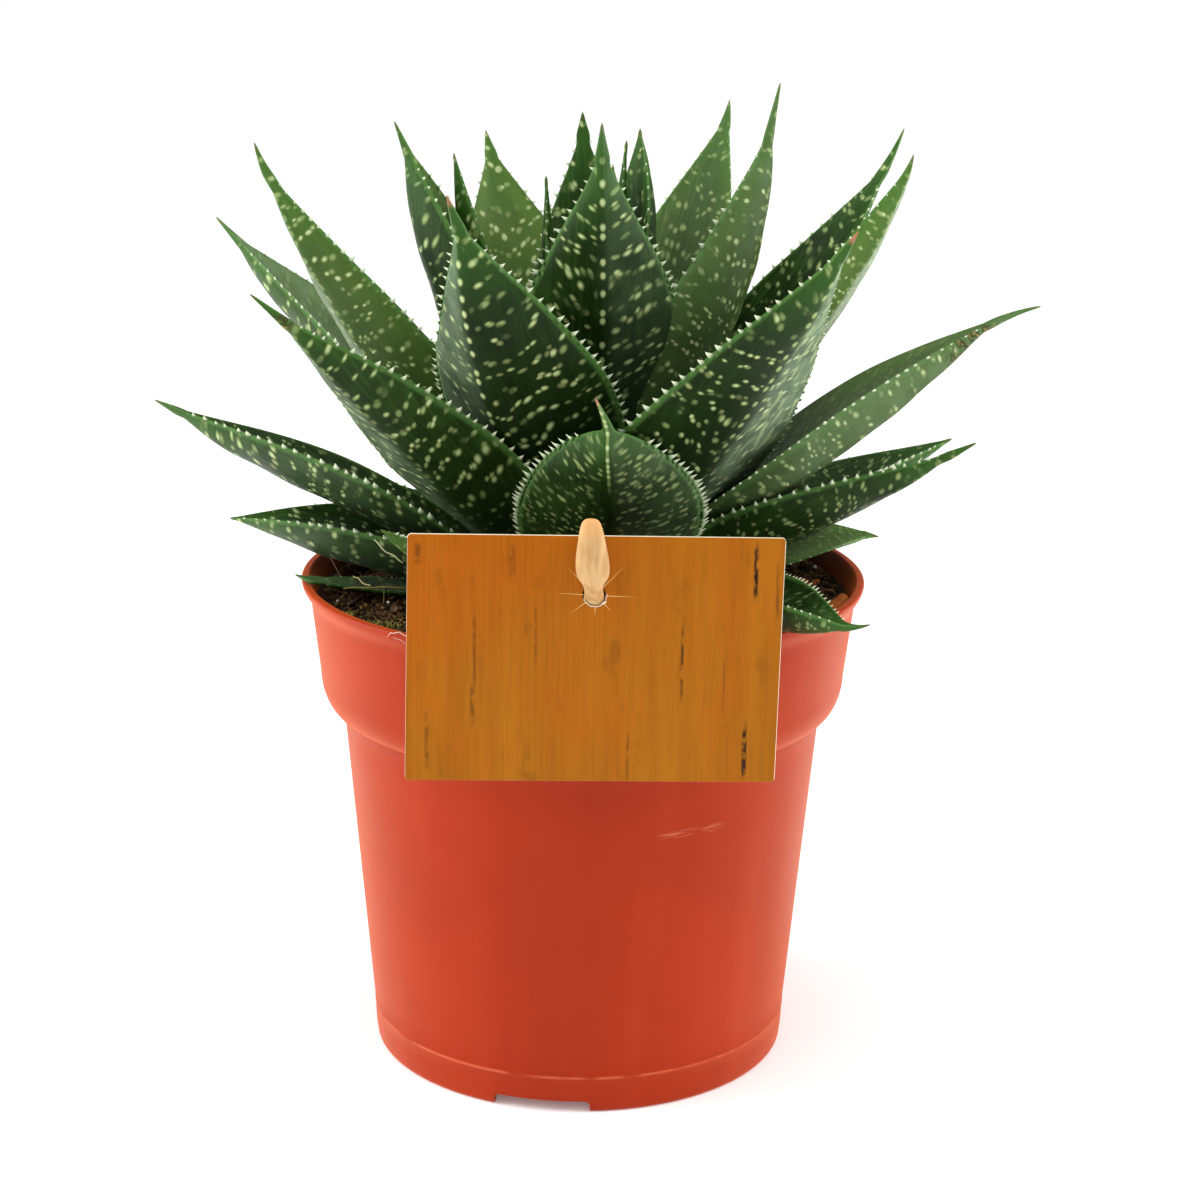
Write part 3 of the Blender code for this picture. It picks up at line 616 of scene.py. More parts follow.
LEAVES = [
    # Youngest leaves, nearly upright in the middle
    grow(280.2, 68.3, 92.8, 35.3, (5.5, 117), 1.7, -14.8, 2.4, channel=0.15, widest=0.38, fullness=1.25,
        cusp=0.05, keel_dots=1, teeth=2.2, tone=0.35, bloom=0.12),
    grow(90.3, 77.4, 78.9, 24.8, (6.5, 122), 1.2, 7.2, 3.3, channel=0.19, neck=0.18, widest=0.42,
        fullness=1.19, cusp=0.03),
    grow(160, 85, 67, 11, (4, 121), 2),
    grow(20, 86.7, 74.5, 11, (3, 121), -2, 0, -1, thick=3.5, channel=0.18),
    grow(17, 83, 77, 26, (6, 121), 8, 0, 15, neck=0.12, widest=0.45),
    grow(182, 73, 79, 24, (5, 117), 2, 0, 5, channel=0.14, widest=0.45),
    # Tall leaves round them
    grow(186.9, 70.9, 90.8, 35.4, (7, 114.5), -3.9, -4.6, -5, thick=8, channel=0.4, widest=0.36,
        fullness=1.03, cusp=0.05, above=(0.9, 0.8, 0)),
    grow(119.3, 67, 88, 38, (8.5, 112.5), 0.2, 4.6, -6.9, channel=0.19, widest=0.39, fullness=1.19,
        cusp=0.03, tone=1.0, dots=1.3),
    grow(46.6, 65, 95.5, 35.6, (6, 114), 1.5, 1.4, -1.4, channel=0.12, widest=0.39, fullness=1.13,
        cusp=0.03, bend=0.8, tone=0.7, dots=0.65),
    grow(348.7, 64.6, 99.9, 36.1, (8, 114), 18.5, -7.3, -12.5, thick=3.5, channel=0.22, neck=0.26,
        widest=0.46, fullness=1.31, cusp=0.08, bend=1.1, keel_at=0.06, tone=0.76, bloom=-0.15, spots=1.15,
        dots=1.25),
    grow(253.1, 50.7, 95.3, 35.8, (8.5, 114), 11, -18, 11.5, neck=0.21, widest=0.42, thick=5.6,
        fullness=1.23, keel_at=-0.33, keel_dots=1, rust=0.8, tone=0.2, bloom=-0.36, teeth=2.2, cusp=0.05,
        dots=0.95),
    grow(85, 51, 92, 34, (10, 110), 4, 0, -1),
    # Leaves that spread halfway
    grow(303, 47.4, 106.8, 40.5, (11, 107), 3.4, 10.2, -3.3, channel=0.14, neck=0.14, widest=0.36,
        thick=3.2, fullness=1.2, open=0.9, cusp=0.03, keel_at=0.12, keel_dots=0.8, rust=1, tone=0.2,
        teeth=2.2, tooth=1.5, bloom=0.6),
    grow(200.4, 52.5, 106.4, 35.7, (10.5, 111), 5.9, 9.3, 15.2, channel=0.13, neck=0.24, widest=0.32,
        fullness=1.34, cusp=0.04, bend=1.9, bloom=-0.35, tone=0.74, spots=1.15, dots=1.2),
    grow(14.8, 53, 106.8, 35.2, (8, 110), 2.5, 4.5, 10.7, thick=4, channel=0.13, neck=0.28, widest=0.35,
        fullness=1.26, cusp=0.07, bend=2.1, tone=0.35),
    grow(340.1, 52.6, 107.2, 33.1, (10, 109), 7.4, -13, -5.9, channel=0.05, widest=0.37, fullness=1.02,
        cusp=0.02, bend=-1.6, tone=0.85, bloom=0.7, keel_at=-0.3, spots=1.6, dots=1.25),
    grow(222.3, 47, 96.8, 34.6, (13.5, 108), -11.3, 0.3, 16.6, channel=0.17, widest=0.25, fullness=1.17,
        cusp=0.08, bend=0.4, tone=0.52, bloom=-0.3, scabs=((0.905, 0.3, 1.5), (0.88, -0.6, 0.9))),
    grow(169, 44.9, 98, 33.9, (9.5, 108.5), -1, 0, 2.7, channel=0.28, neck=0.12, widest=0.45, cusp=0.05,
        bend=-0.4, keel_at=-0.05, tone=0.6, above=(0.85, 0.35, 0.4)),
    grow(345, 44.4, 103, 32.7, (13, 107.5), -17.9, -6, 6.9, thick=9, channel=0.12, neck=0.13, widest=0.43,
        keel_at=-0.42, fullness=1.33, cusp=0.085, bend=-6.4, tone=0.72, bloom=-0.22, spots=1.25, bald=1,
        above=(0.85, 0.6, 0.05), scabs=((0.83, -0.75, 1.5), (0.86, -0.9, 1.4), (0.79, -0.6, 0.9))),
    grow(135, 30, 76, 32, (11.5, 108.5), 4, neck=0.28, widest=0.33),
    grow(46, 30, 76, 32, (10, 108), 4, 0, 2, neck=0.28, widest=0.31),
    # Low leaves
    grow(282.6, 44.2, 63.2, 37.5, (13, 104), 16.9, -22.9, -3.6, channel=0.2, wrap=0.35, neck=0.54,
        widest=0.39, fullness=0.59, cusp=0.13, bend=-2.3, teeth=1.45, tooth=1.6, rust=1, skin="feathered",
        keel_dots=1, tone=0.45, bloom=0.12),
    grow(181.7, 26.5, 83.2, 32.7, (14, 106), -3.1, -1.2, 8.8, thick=5.2, channel=0.24, neck=0.1,
        widest=0.47, fullness=1.37, cusp=0.03, tone=0.5, tooth=1.7, bloom=0.08, keel_dots=0, bald=-1),
    grow(345, 26.2, 81.5, 30, (9, 101.5), 2, 0, -28, thick=4, channel=0.12, widest=0.32, fullness=1.3,
        cusp=0.04, spots=1.25, tone=0.4, dots=0.75),
    grow(10, 20, 72, 28, (12.5, 106), 2, 0, -1, thick=4.5, channel=0.26, neck=0.16, widest=0.37, spots=1.3,
        teeth=1.7, tooth=2.0, dots=0.7, bald=1),
    grow(63, 23, 70, 32, (12, 105.5), 4, 0, 5, channel=0.18, widest=0.39),
    grow(116, 26, 72, 32, (9.5, 103), 4, channel=0.12, neck=0.28, widest=0.38),
    # Oldest leaves, nearly level
    grow(182.6, 19.5, 62.5, 27.6, (13.5, 103), -18.8, -5.6, 0.2, thick=9, channel=0.31, widest=0.39,
        fullness=1.14, tone=0.5, tooth=1.6, bloom=0.12, keel_dots=0, bald=-1),
    grow(231, 22, 54, 24, (12.5, 104.5), 4, 0, 1, channel=0.14, widest=0.34, teeth=1.0, tooth=2.0,
        tone=0.8),
    grow(14.2, 18.2, 52.2, 25.1, (14.5, 101.5), -23.7, 1.4, 10.5, thick=3, channel=0.1, widest=0.42,
        fullness=1.01, cusp=0.02, bend=-1.1, tone=0.9, spots=1.9, tooth=0.7, dots=0.7),
    grow(304.7, 17.2, 67, 29.7, (14.5, 101), -24.9, 19.2, -7.7, thick=5.3, channel=0.36, widest=0.45,
        fullness=1.1, keel_at=0.03, cusp=0.05, bend=0.7, lift=1.8, teeth=1.3, tooth=0.95, tone=0.15,
        keel_dots=0.8, spots=1.3, dots=0.6, above=(0.1, 0.25, 0)),
    grow(194.3, 5.6, 46.5, 7.6, (14.5, 101), 3.4, -4.2, -7.1, thick=3, channel=0.14, widest=0.49,
        fullness=0.78, cusp=0.04, bend=-1.9, tone=0, tooth=0.55, spots=1.5, bald=1, above=(0, 0.25, 0.15)),
    grow(145, 14, 62, 28, (13, 102), 4, channel=0.08),
    grow(52, 16, 62, 28, (13.5, 102.5), 4, 0, -2, channel=0.22, widest=0.45),
    grow(93, 9, 55, 26, (13.5, 102), 4, channel=0.08, neck=0.28),
]
AROUND = 40
ALONG = 96
CURL_POWER = 1.5
ROLL_DONE_AT = 0.35
KEEL_POWER = 1.25
NEEDLE = 0.42
SOFTNESS = 2.6
MARGIN_THICKNESS = 0.9
HARD_TIP = 1.0
AWL = 1.3


def way(leaf, share):
    """Unit vectors along the leaf at shares of its length, level ones across it, and its slope."""
    turn, rise, curl, sway = (math.radians(angle) for angle in (leaf.turn, leaf.rise, leaf.curl, leaf.sway))
    heading = turn + sway * share
    slope = rise + curl * share**CURL_POWER
    level = np.stack((-np.sin(heading), np.cos(heading), np.zeros_like(heading)), -1)
    along = np.stack((np.cos(slope) * np.cos(heading), np.cos(slope) * np.sin(heading), np.sin(slope)), -1)
    return along, level, slope


def leaf_line(leaf, share):
    """Points, directions along, across and up, half width, channel depth and thickness, in mm."""
    turn = math.radians(leaf.turn)
    radius, height = leaf.root
    fine = np.arange(4 * ALONG + 1) / (4 * ALONG)
    steps = way(leaf, (fine[:-1] + fine[1:]) / 2)[0] * leaf.length / (4 * ALONG)
    root = np.array((radius * math.cos(turn), radius * math.sin(turn), height))
    line = root + np.concatenate((np.zeros((1, 3)), np.cumsum(steps, axis=0)))
    point = np.stack([np.interp(share, fine, line[:, k]) for k in range(3)], -1)
    along, level, slope = way(leaf, share)
    up = np.cross(along, level)
    roll = math.radians(leaf.roll) * np.minimum(1, share / ROLL_DONE_AT)[:, None]
    across = level * np.cos(roll) + up * np.sin(roll)
    up = np.cross(along, across)
    widest, neck = leaf.widest, leaf.neck
    below = neck + (1 - neck) * np.sin(math.pi / 2 * np.minimum(1, share / widest))
    shoulder = 1 - leaf.cusp
    above = np.sin(math.pi / 2 * np.clip((shoulder - share) / (shoulder - widest), 0, 1))
    half = leaf.width / 2 * np.where(share < widest, below, above ** leaf.fullness)
    to_tip = (1 - share) * leaf.length
    needle = NEEDLE * np.sqrt(np.clip(to_tip / 0.8, 0, 1))
    if leaf.cusp:
        on_cusp = np.clip((share - shoulder + 0.03) / (leaf.cusp + 0.03), 0, 1)
        needle = 0.4 * needle + AWL * (1 - on_cusp) ** 1.15 * (share > 0.5)
        bent = (on_cusp**1.6)[:, None]
        point = point + across * (leaf.bend * bent) + up * (leaf.lift * bent)
    half = np.maximum(half, needle)
    from_axis = np.maximum(3, np.hypot(point[:, 0], point[:, 1]))
    hug = np.minimum(half * half * np.sin(np.maximum(slope, 0)) / (2 * from_axis), 0.6 * half)
    channel = np.maximum(leaf.channel * half, leaf.wrap * hug)
    full = leaf.thick * (0.5 + 0.5 * np.minimum(1, share / 0.25))
    thick = (full**-SOFTNESS + (0.25 + 0.8 * half) ** -SOFTNESS) ** (-1 / SOFTNESS) * (1 - 0.12 * share)
    return point, along, across, up, half, channel, thick


def leaf_blade(name, leaf, number):
    """A grid rolled round the leaf's section, closed at the root, with its skin map in mm."""
    blade = begin("grid", name, x_subdivisions=AROUND, y_subdivisions=ALONG, size=2)
    mesh = blade.data
    flat = np.array([vertex.co for vertex in mesh.vertices])
    column = np.rint((flat[:, 0] + 1) / 2 * AROUND).astype(int)
    row = np.rint((flat[:, 1] + 1) / 2 * ALONG).astype(int)
    share = np.arange(ALONG + 1) / ALONG
    point, along, across, up, half, channel, thick = (a[row] for a in leaf_line(leaf, share))
    share = share[row]
    lower = column > AROUND // 2
    rolled = column / AROUND * 4
    side = np.sin(math.pi / 2 * np.where(lower, 3 - rolled, rolled - 1))
    from_midrib = np.abs(side)
    rim = np.minimum(MARGIN_THICKNESS, 0.5 * thick)
    keel_at = leaf.keel_at
    from_keel = np.where(side < keel_at, (keel_at - side) / (1 + keel_at), (side - keel_at) / (1 - keel_at))
    keel = (thick - rim) * (1 - from_keel**KEEL_POWER) + rim * np.sqrt(np.maximum(0, 1 - from_midrib**10))
    laid_open = np.where(side * np.sign(leaf.bloom) > 0, 1 - leaf.open, 1)
    depth = channel * laid_open * side**2 - np.where(lower, keel, 0)
    seed = 0.37 * number
    reach = share * leaf.length
    ripple = 0.12 * np.sin(reach / 4.1 + 3 * side + seed) + 0.1 * np.sin(reach / 2.3 - 5 * side + 2 * seed)
    depth += ripple * np.minimum(1, half / 8) * (1 - from_midrib**4) * np.where(lower, -1, 1)
    wave = 1 + 0.012 * np.sin(reach / 3.3 + side + seed)
    placed = point + across * (side * half * wave)[:, None] + up * depth[:, None]
    mesh.vertices.foreach_set("co", (placed * MM).ravel())

    # Painted sheen: the share that the skin whitens as a grey-green reflection of a side light, below on the
    # side beyond the keel that the sheen weight's sign picks, above as given, fading out towards the root.
    outer = np.clip(((side - keel_at) * np.sign(leaf.bloom) - 0.02) / 0.12, 0, 1)
    upper_tone, upper_dots, upper_bloom = leaf.above or (leaf.tone, leaf.dots, 0)
    facet = np.where(lower, outer * abs(leaf.bloom), upper_bloom) * np.clip((share - 0.1) / 0.4, 0, 1)
    scab = np.zeros(len(share))
    for up_to, beside, radius in leaf.scabs:
        away = np.hypot((share - up_to) * leaf.length / 1.6, (side - beside) * half) / radius
        scab = np.maximum(scab, np.clip(1.4 - away, 0, 1))
    mark(
        mesh, from_midrib=from_midrib, from_keel=(side - keel_at) * half, up_leaf=share, bloom=facet,
        tone=np.where(lower, leaf.tone, upper_tone), dottiness=np.where(lower, leaf.dots, upper_dots),
        keel_dots=np.where(lower, leaf.keel_dots, 0), rust=leaf.rust, scab=scab, tooth_white=0,
    )
    corners = np.array([loop.vertex_index for loop in mesh.loops])
    below = column[corners].reshape(-1, 4).mean(1).repeat(4) > AROUND // 2
    skin_u = (side * half)[corners] * np.where(below, -1, 1) * leaf.spots + np.where(below, 90, 0)
    skin_v = share[corners] * leaf.length * leaf.spots + 190 * number
    skin = mesh.uv_layers[0]
    skin.name = "skin"
    skin.data.foreach_set("uv", np.stack((skin_u, skin_v), -1).ravel())
    edit_all()
    bpy.ops.mesh.remove_doubles(threshold=0.000004)
    close_up()
    return blade


# One tooth is a six-sided cone bent towards the leaf's tip, one unit high.
tooth_cone = begin("cone", "tooth", vertices=6, radius1=1, radius2=0, depth=1, location=(0, 0, 0.5))
bpy.ops.object.transform_apply()
bpy.ops.object.mode_set(mode="EDIT")
for level in (0.3, 0.65):
    bpy.ops.mesh.select_all(action="SELECT")
    bpy.ops.mesh.bisect(plane_co=(0, 0, level), plane_no=(0, 0, 1))
bpy.ops.object.mode_set(mode="OBJECT")
for vertex in tooth_cone.data.vertices:
    vertex.co.y += 0.55 * vertex.co.z**2
    if 0.05 < vertex.co.z < 0.9:
        vertex.co.x *= 0.82
tooth_shape = read_mesh(tooth_cone)


def leaf_teeth(leaf, dice):
    """Matrices of the teeth on both margins, from the root up to the tip's shoulder."""
    places = []
    for sign in (-1, 1):
        reach = 0.13 * leaf.length + dice.uniform(0, leaf.teeth)
        while reach < (0.955 - leaf.cusp) * leaf.length:
            share = reach / leaf.length
            line = leaf_line(leaf, np.array([share]))
            point, along, across, up, half, channel, thick = (a[0] for a in line)
            size = leaf.tooth * dice.uniform(0.7, 1.15) * min(1, 2.55 - 2.2 * share, 0.4 + 3 * share)
            rim = min(MARGIN_THICKNESS, 0.5 * thick)
            laid_open = leaf.open * (sign * leaf.bloom > 0)
            channel *= 1 - laid_open
            size *= 1 - 0.6 * max(laid_open, float(sign == leaf.bald))
            foot = point + across * (sign * (half - 0.25)) + up * (channel - 0.35 * rim)
            flare = min(0.9, 2 * channel / max(half, 1))
            outward = across * sign + along * 0.18 + up * (flare + dice.uniform(-0.1, 0.2))
            outward /= np.linalg.norm(outward)
            sideways = np.cross(along, outward)
            sideways /= np.linalg.norm(sideways)
            axes = (sideways, np.cross(outward, sideways), outward)
            if np.dot(axes[1], along) < 0:
                axes = (-sideways, -axes[1], outward)
            sizes = np.array((0.26 * size + 0.08, 0.46 * size + 0.1, 1.1 * size + 0.3)) * MM
            places.append(standing(foot * MM, axes, sizes))
            reach += leaf.teeth * dice.uniform(0.75, 1.3)
    return places


# Leaf skin: a waxy cuticle over dark green flesh. Its satin, grey-green sheen where a side light
# grazes it is painted into the colour as a painted reflection on chosen facets, the leaf's middle
# and base are painted darker as shade, and the dots are pale patches just under the wax, in chains
# across the leaf.
# In mm: the cell of each layer of dots across and along, a dot's radius across and along; then its
# smallest and largest size, the share left out, a shift and the scatter. Chains lie 4.5 mm apart.
CHAINS = (
    ((2.1, 4.5), (0.76, 0.64), 0.7, 1.05, 0.27, 0.0, 0.55),
    ((1.8, 4.5), (0.66, 0.56), 0.65, 1.0, 0.55, 41.25, 0.65),
)
FEATHERS = (
    ((2.8, 1.7), (0.8, 0.42), 0.5, 1.1, 0.25, 0.0, 0.75),
    ((1.8, 1.9), (0.5, 0.44), 0.5, 1.0, 0.4, 17.0, 0.85),
)
# The keel's beads: how far apart, half as long and half as wide in mm, and where they begin up the
# leaf and are whole.
BEADS = (3.7, 0.98, 0.66, 0.3, 0.5)
FEATHER_BEADS = (1.75, 0.75, 0.45, 0.64, 0.76)


def gasteria_skin(name, feathered):
    """The spotted skin: chains of soft pale dots across the leaf, or fine feathered dashes."""
    made = material(name)
    skin = add("UVMap", {"uv_map": "skin"}).outputs[0]
    beside_midrib, up_skin = add("SeparateXYZ", _0=skin).outputs[:2]
    from_midrib, keel_side, up, tone, bloom, dottiness, keel_dots, rust, scab, tooth_white = (
        add("Attribute", {"attribute_name": key}).outputs["Fac"]
        for key in (
            "from_midrib", "from_keel", "up_leaf", "tone", "bloom", "dottiness", "keel_dots", "rust", "scab",
            "tooth_white",
        )
    )
    from_keel = sum_up("ABSOLUTE", keel_side)
    drift = cloudy(skin, 0.055, 0.0, "2D").outputs["Color"]
    drift = stretched(drift, (3.0, 6.5, 0.0), (0.5, 0.5, 0.5))
    if feathered:
        slope = times(ramp(up, 0.4, 0.85, -0.02, -0.5), ramp(keel_side, -3, 3, 0.9, 0.6))
        where = vectors("ADD", skin, stretched(drift, (1.0, 0.3, 0.0)))
    else:
        slope = -0.3
        wobble = cloudy(skin, 0.15, 0.0, "2D").outputs["Color"]
        wobble = stretched(wobble, (1.0, 1.5, 0.0), (0.5, 0.5, 0.5))
        where = vectors("ADD", vectors("ADD", skin, drift), wobble)
    where = vectors("ADD", where, add("CombineXYZ", _1=times(from_keel, slope)))
    dots = 0.0
    for cell, radii, small, large, dropped, shift, scatter in FEATHERS if feathered else CHAINS:
        lattice = stretched(where, (1 / cell[0], 1 / cell[1], 0), (shift, shift / 3, 0))
        settings = {"voronoi_dimensions": "2D"}
        spot = add("TexVoronoi", settings, Vector=lattice, Scale=1.0, Randomness=scatter).outputs
        away = vectors("SUBTRACT", spot["Position"], lattice)
        away = reach_of(stretched(away, (cell[0] / radii[0], cell[1] / radii[1], 0)))
        luck = add("SeparateColor", _0=spot["Color"]).outputs
        inside = sum_up("SUBTRACT", sum_up("MULTIPLY_ADD", luck[0], large - small, small), away)
        spotted = times(sum_up("GREATER_THAN", luck[1], dropped), ramp(inside, -0.5, 0.6))
        dots = sum_up("MAXIMUM", dots, times(spotted, ramp(luck[2], 0.0, 0.7, 0.45, 1.0)))
    patchy = ramp(cloudy(skin, 0.17, 1.0, "2D"), 0.3, 0.5, 0.25, 0.75 if feathered else 1.0)
    beside_beads = sum_up("SUBTRACT", 1.0, times(fade(from_keel, 0.8, 1.8), keel_dots))
    dots = times(dots, ramp(up, 0.08, 0.4), ramp(from_midrib, 0.93, 0.985, 1.0, 0.15), patchy, beside_beads)

    spacing, long, wide, first, whole = FEATHER_BEADS if feathered else BEADS
    row = times(up_skin, 1 / spacing)
    bead = add("TexVoronoi", {"voronoi_dimensions": "1D"}, W=row, Scale=1.0, Randomness=0.7)
    beyond = sum_up("POWER", times(bead.outputs["Distance"], spacing / long), 2.0)
    aside = sum_up("POWER", times(from_keel, 1 / wide), 2.0)
    beads = fade(sum_up("SQRT", sum_up("ADD", beyond, aside)), 0.45, 1.15)
    if feathered:
        beads = sum_up("MAXIMUM", beads, fade(from_keel, 0.1, 0.45, 0.55))
    else:
        beads = times(beads, fade(up, 0.88, 0.95))
    dots = sum_up("MAXIMUM", dots, times(beads, keel_dots, ramp(up, first, whole)))
    # Painted sheen: pale streaky blotches where the painted sheen lies, taken into the dots.
    blotch = ramp(cloudy(skin, (0.7, 0.2, 0), 0.5, "2D"), 0.54, 0.68)
    blotch = times(blotch, ramp(bloom, 0.3, 0.6, 0.0, 0.5))
    dots = times(sum_up("MAXIMUM", dots, blotch), dottiness)

    mottle = cloudy(skin, 0.16, 4.0, "2D")
    streaks = cloudy(skin, (1.3, 0.12, 0), 3.0, "2D")
    lined = times(ramp(streaks, 0.42, 0.72, 0.0, 0.8), ramp(beside_midrib, 35, 36, 1.0, 0.45))
    # Painted light and shade: tone lightens or darkens a whole leaf partly for how it is lit, the middle and
    # the base of the leaf are painted darker as shade and the tip lighter, and the last coat is the painted
    # grey-green sheen.
    green = coated(
        blend(ramp(mottle, 0.3, 0.7), "#192d0b", "#253e11"),
        (lined, "#345a22"),
        (ramp(tone, 0.5, 1.0), "#64823d"),
        (ramp(tone, 0.5, 0.0, 0.0, 0.75), "#0d1b08"),
        (fade(from_midrib, 0.2, 0.85, 0.35), "#0c1908"),
        (fade(up, 0.15, 0.65, 0.6), "#121f0b"),
        (ramp(up, 0.7, 1.0, 0.0, 0.6), "#43702c"),
        (ramp(from_midrib, 0.92, 0.985, 0.0, 0.7), "#4f7a38"),
        (times(bloom, ramp(mottle, 0.3, 0.7, 0.55, 1.0)), "#8ba083"),
    )
    # The dots are painted paler where the painted sheen lies.
    pale = blend(bloom, "#9cb06f", "#b9c99a")
    pale = blend(ramp(dots, 0.7, 1.0, 0.0, 0.45), pale, "#d3dfae")
    crust = cloudy(skin, 0.75, 4.0, "2D")
    worn = times(scab, ramp(crust, 0.42, 0.56))
    spotted = coated(
        green,
        (dots, pale),
        (times(ramp(up, 0.968, 0.988), rust), "#a9775a"),
        (worn, "#3d3a1a"),
        (times(worn, ramp(crust, 0.6, 0.66, 0.0, 0.8)), "#948a52"),
        (ramp(tooth_white, 0.0, 1.0), "#dbe6c4"),
    )
    pits = cloudy(skin, 1.6, 3.0, "2D")
    relief = times(pits, 0.5)
    for height, part in ((1.2, dots), (0.7, streaks), (1.5, worn)):
        relief = sum_up("MULTIPLY_ADD", part, height, relief)
    finish(
        made, spotted, (0.5, 0.0002, relief), Roughness=ramp(pits, 0.3, 0.7, 0.36, 0.48), IOR=1.45,
        Specular_IOR_Level=0.12, Sheen_Weight=0.03, Sheen_Roughness=0.4, Sheen_Tint=linear("#c4dcb4"),
    )
    return made


skins = {
    "banded": gasteria_skin("spotted_leaf_skin", False),
    "feathered": gasteria_skin("feathered_leaf_skin", True),
}
for number, leaf in enumerate(LEAVES, start=1):
    leaf.length += HARD_TIP
    name = f"leaf_{number:02d}"
    blade = leaf_blade(name + "_blade", leaf, number)
    places = leaf_teeth(leaf, random.Random(100 + number))
    teeth = scattered(name + "_teeth", tooth_shape, places)
    mark(
        teeth.data, from_midrib=1, from_keel=9, up_leaf=0.5, bloom=0, tone=leaf.tone, dottiness=0,
        keel_dots=0, rust=0, scab=0,
        tooth_white=np.tile(np.clip(1.8 * tooth_shape[0][:, 2], 0, 1), len(places)),
    )
    teeth.data.uv_layers.new(name="skin")
    take(blade)
    teeth.select_set(True)
    bpy.ops.object.join()
    soften(blade, 60)
    fit(blade, [skins[leaf.skin]], "leaf", name)

# Litter
# What fell on the soil or grew there: tufts of moss, a straw with two shoots, a hair-thin root, a
# white thread over the rim, a dry leaf's skin, grains of perlite, and scales of pine bark.
# Moss tufts: middle x and y, spread in mm, and count of strands.
MOSS = ((-50.2, -23.0, 2.6, 60), (-41.0, -32.5, 4.6, 150), (-46.0, -28.5, 2.0, 40), (20, 49, 5, 120))
dice = random.Random(41)
parts, shades = [], []
for middle_x, middle_y, spread, count in MOSS:
    for _ in range(count):
        x, y = middle_x + dice.gauss(0, spread / 2), middle_y + dice.gauss(0, spread / 2)
        if math.hypot(x, y) < SOIL_RADIUS - 0.4:
            lean_x, lean_y = dice.gauss(0, 0.5), dice.gauss(0, 0.5)
            tall = dice.uniform(0.5, 1.5)
            foot = soil_height(x, y)
            points = [(x + lean_x * t * t, y + lean_y * t * t, foot + tall * t) for t in (0, 0.35, 0.7, 1)]
            parts.append(strand(points, (0.12, 0.2, 0.17, 0.05)))
            shades.append(dice.uniform(0, 1))
moss = strands("moss_tufts", parts, shades)
fit(moss, [shaded_stuff("living_moss", "#3b3f12", "#a09b52", 0.9)], "soil")

# Each length of litter: name, darkest and lightest colour, roughness, and x, y, z and radius in mm
# at points along it.
LITTER = (
    ("straw", "#6f5a2a", "#a8904f", 0.6, (-49.9, -17.2, 105.6, 0.06), (-47.0, -19.2, 106.2, 0.1),
        (-44.1, -19.6, 106.5, 0.14), (-41.0, -19.6, 106.5, 0.15), (-36.3, -18.5, 106.2, 0.16)),
    ("straw_shoot", "#8a7a4a", "#c2b07c", 0.6, (-48.0, -14.7, 107.4, 0.09), (-46.9, -15.8, 107.3, 0.12),
        (-45.6, -18.6, 107.1, 0.13), (-43.9, -20.2, 106.9, 0.12)),
    ("side_shoot", "#4a4420", "#77693c", 0.7, (-41.7, -12.5, 104.8, 0.13), (-41.6, -14.4, 103.9, 0.13),
        (-41.3, -19.8, 103.2, 0.1)),
    ("hair_root", "#5a2c20", "#8d5e4e", 0.7, (-56.6, 15, 106.4, 0.11), (-55, 9, 105.2, 0.11),
        (-51.5, -2.1, 103.2, 0.09)),
    ("thread", "#b89a86", "#dcc4b0", 0.8, (-38.6, -46.4, 103.9, 0.07), (-37.8, -47.0, 104.9, 0.09),
        (-37.0, -47.7, 105.15, 0.1), (-35.9, -48.3, 105.25, 0.09), (-34.6, -49.3, 105.0, 0.08)),
    ("thread_end", "#b08a74", "#d0b09c", 0.8, (-37.4, -47.5, 104.2, 0.06), (-36.2, -48.3, 103.9, 0.06),
        (-34.9, -49.2, 103.4, 0.05)),
    ("dry_leaf_skin", "#a9ad78", "#dcd8ac", 0.7, (-42.2, -32, 119.9, 0.1), (-41, -32, 118.7, 0.14),
        (-39.6, -32, 117.2, 0.11), (-38, -32, 116.6, 0.16), (-36.4, -32, 115.1, 0.1)),
)
for name, dark, light, roughness, *points in LITTER:
    known = np.arange(len(points))
    fine = np.linspace(0, len(points) - 1, 6 * len(points))
    *path, radii = (np.interp(fine, known, column) for column in np.array(points, float).T)
    path = np.stack(path, -1)
    path[1:-1] = (path[:-2] + 2 * path[1:-1] + path[2:]) / 4
    path[:, 2] += np.sin(fine * 3.1 + len(name)) * 0.12
    piece = strands(name, [strand(path, radii, 6)], [0.6])
    fit(piece, [shaded_stuff(name + "_stuff", dark, light, roughness)], "soil")

# Perlite: three grains seen in front, the others strewn; x, y and radius in mm.
GRAINS = 26
grains = [(-51.3, -14.5, 0.36), (-40.8, -14.1, 0.34), (54.0, -9.6, 0.2)]
dice = random.Random(52)
while len(grains) < GRAINS:
    radius, turn = dice.uniform(24, 55), dice.uniform(0, math.tau)
    grains.append((radius * math.cos(turn), radius * math.sin(turn), dice.uniform(0.2, 0.5)))
places = [
    standing(np.array((x, y, soil_height(x, y) + 0.55)) * MM, random_axes(dice), np.full(3, size * MM))
    for x, y, size in grains
]
perlite = scattered("perlite_grains", crumb_shape, places, [0.8] * len(places))
soften(perlite, 60)
fit(perlite, [shaded_stuff("expanded_perlite", "#cfcabd", "#f2efe6", 0.95)], "soil")

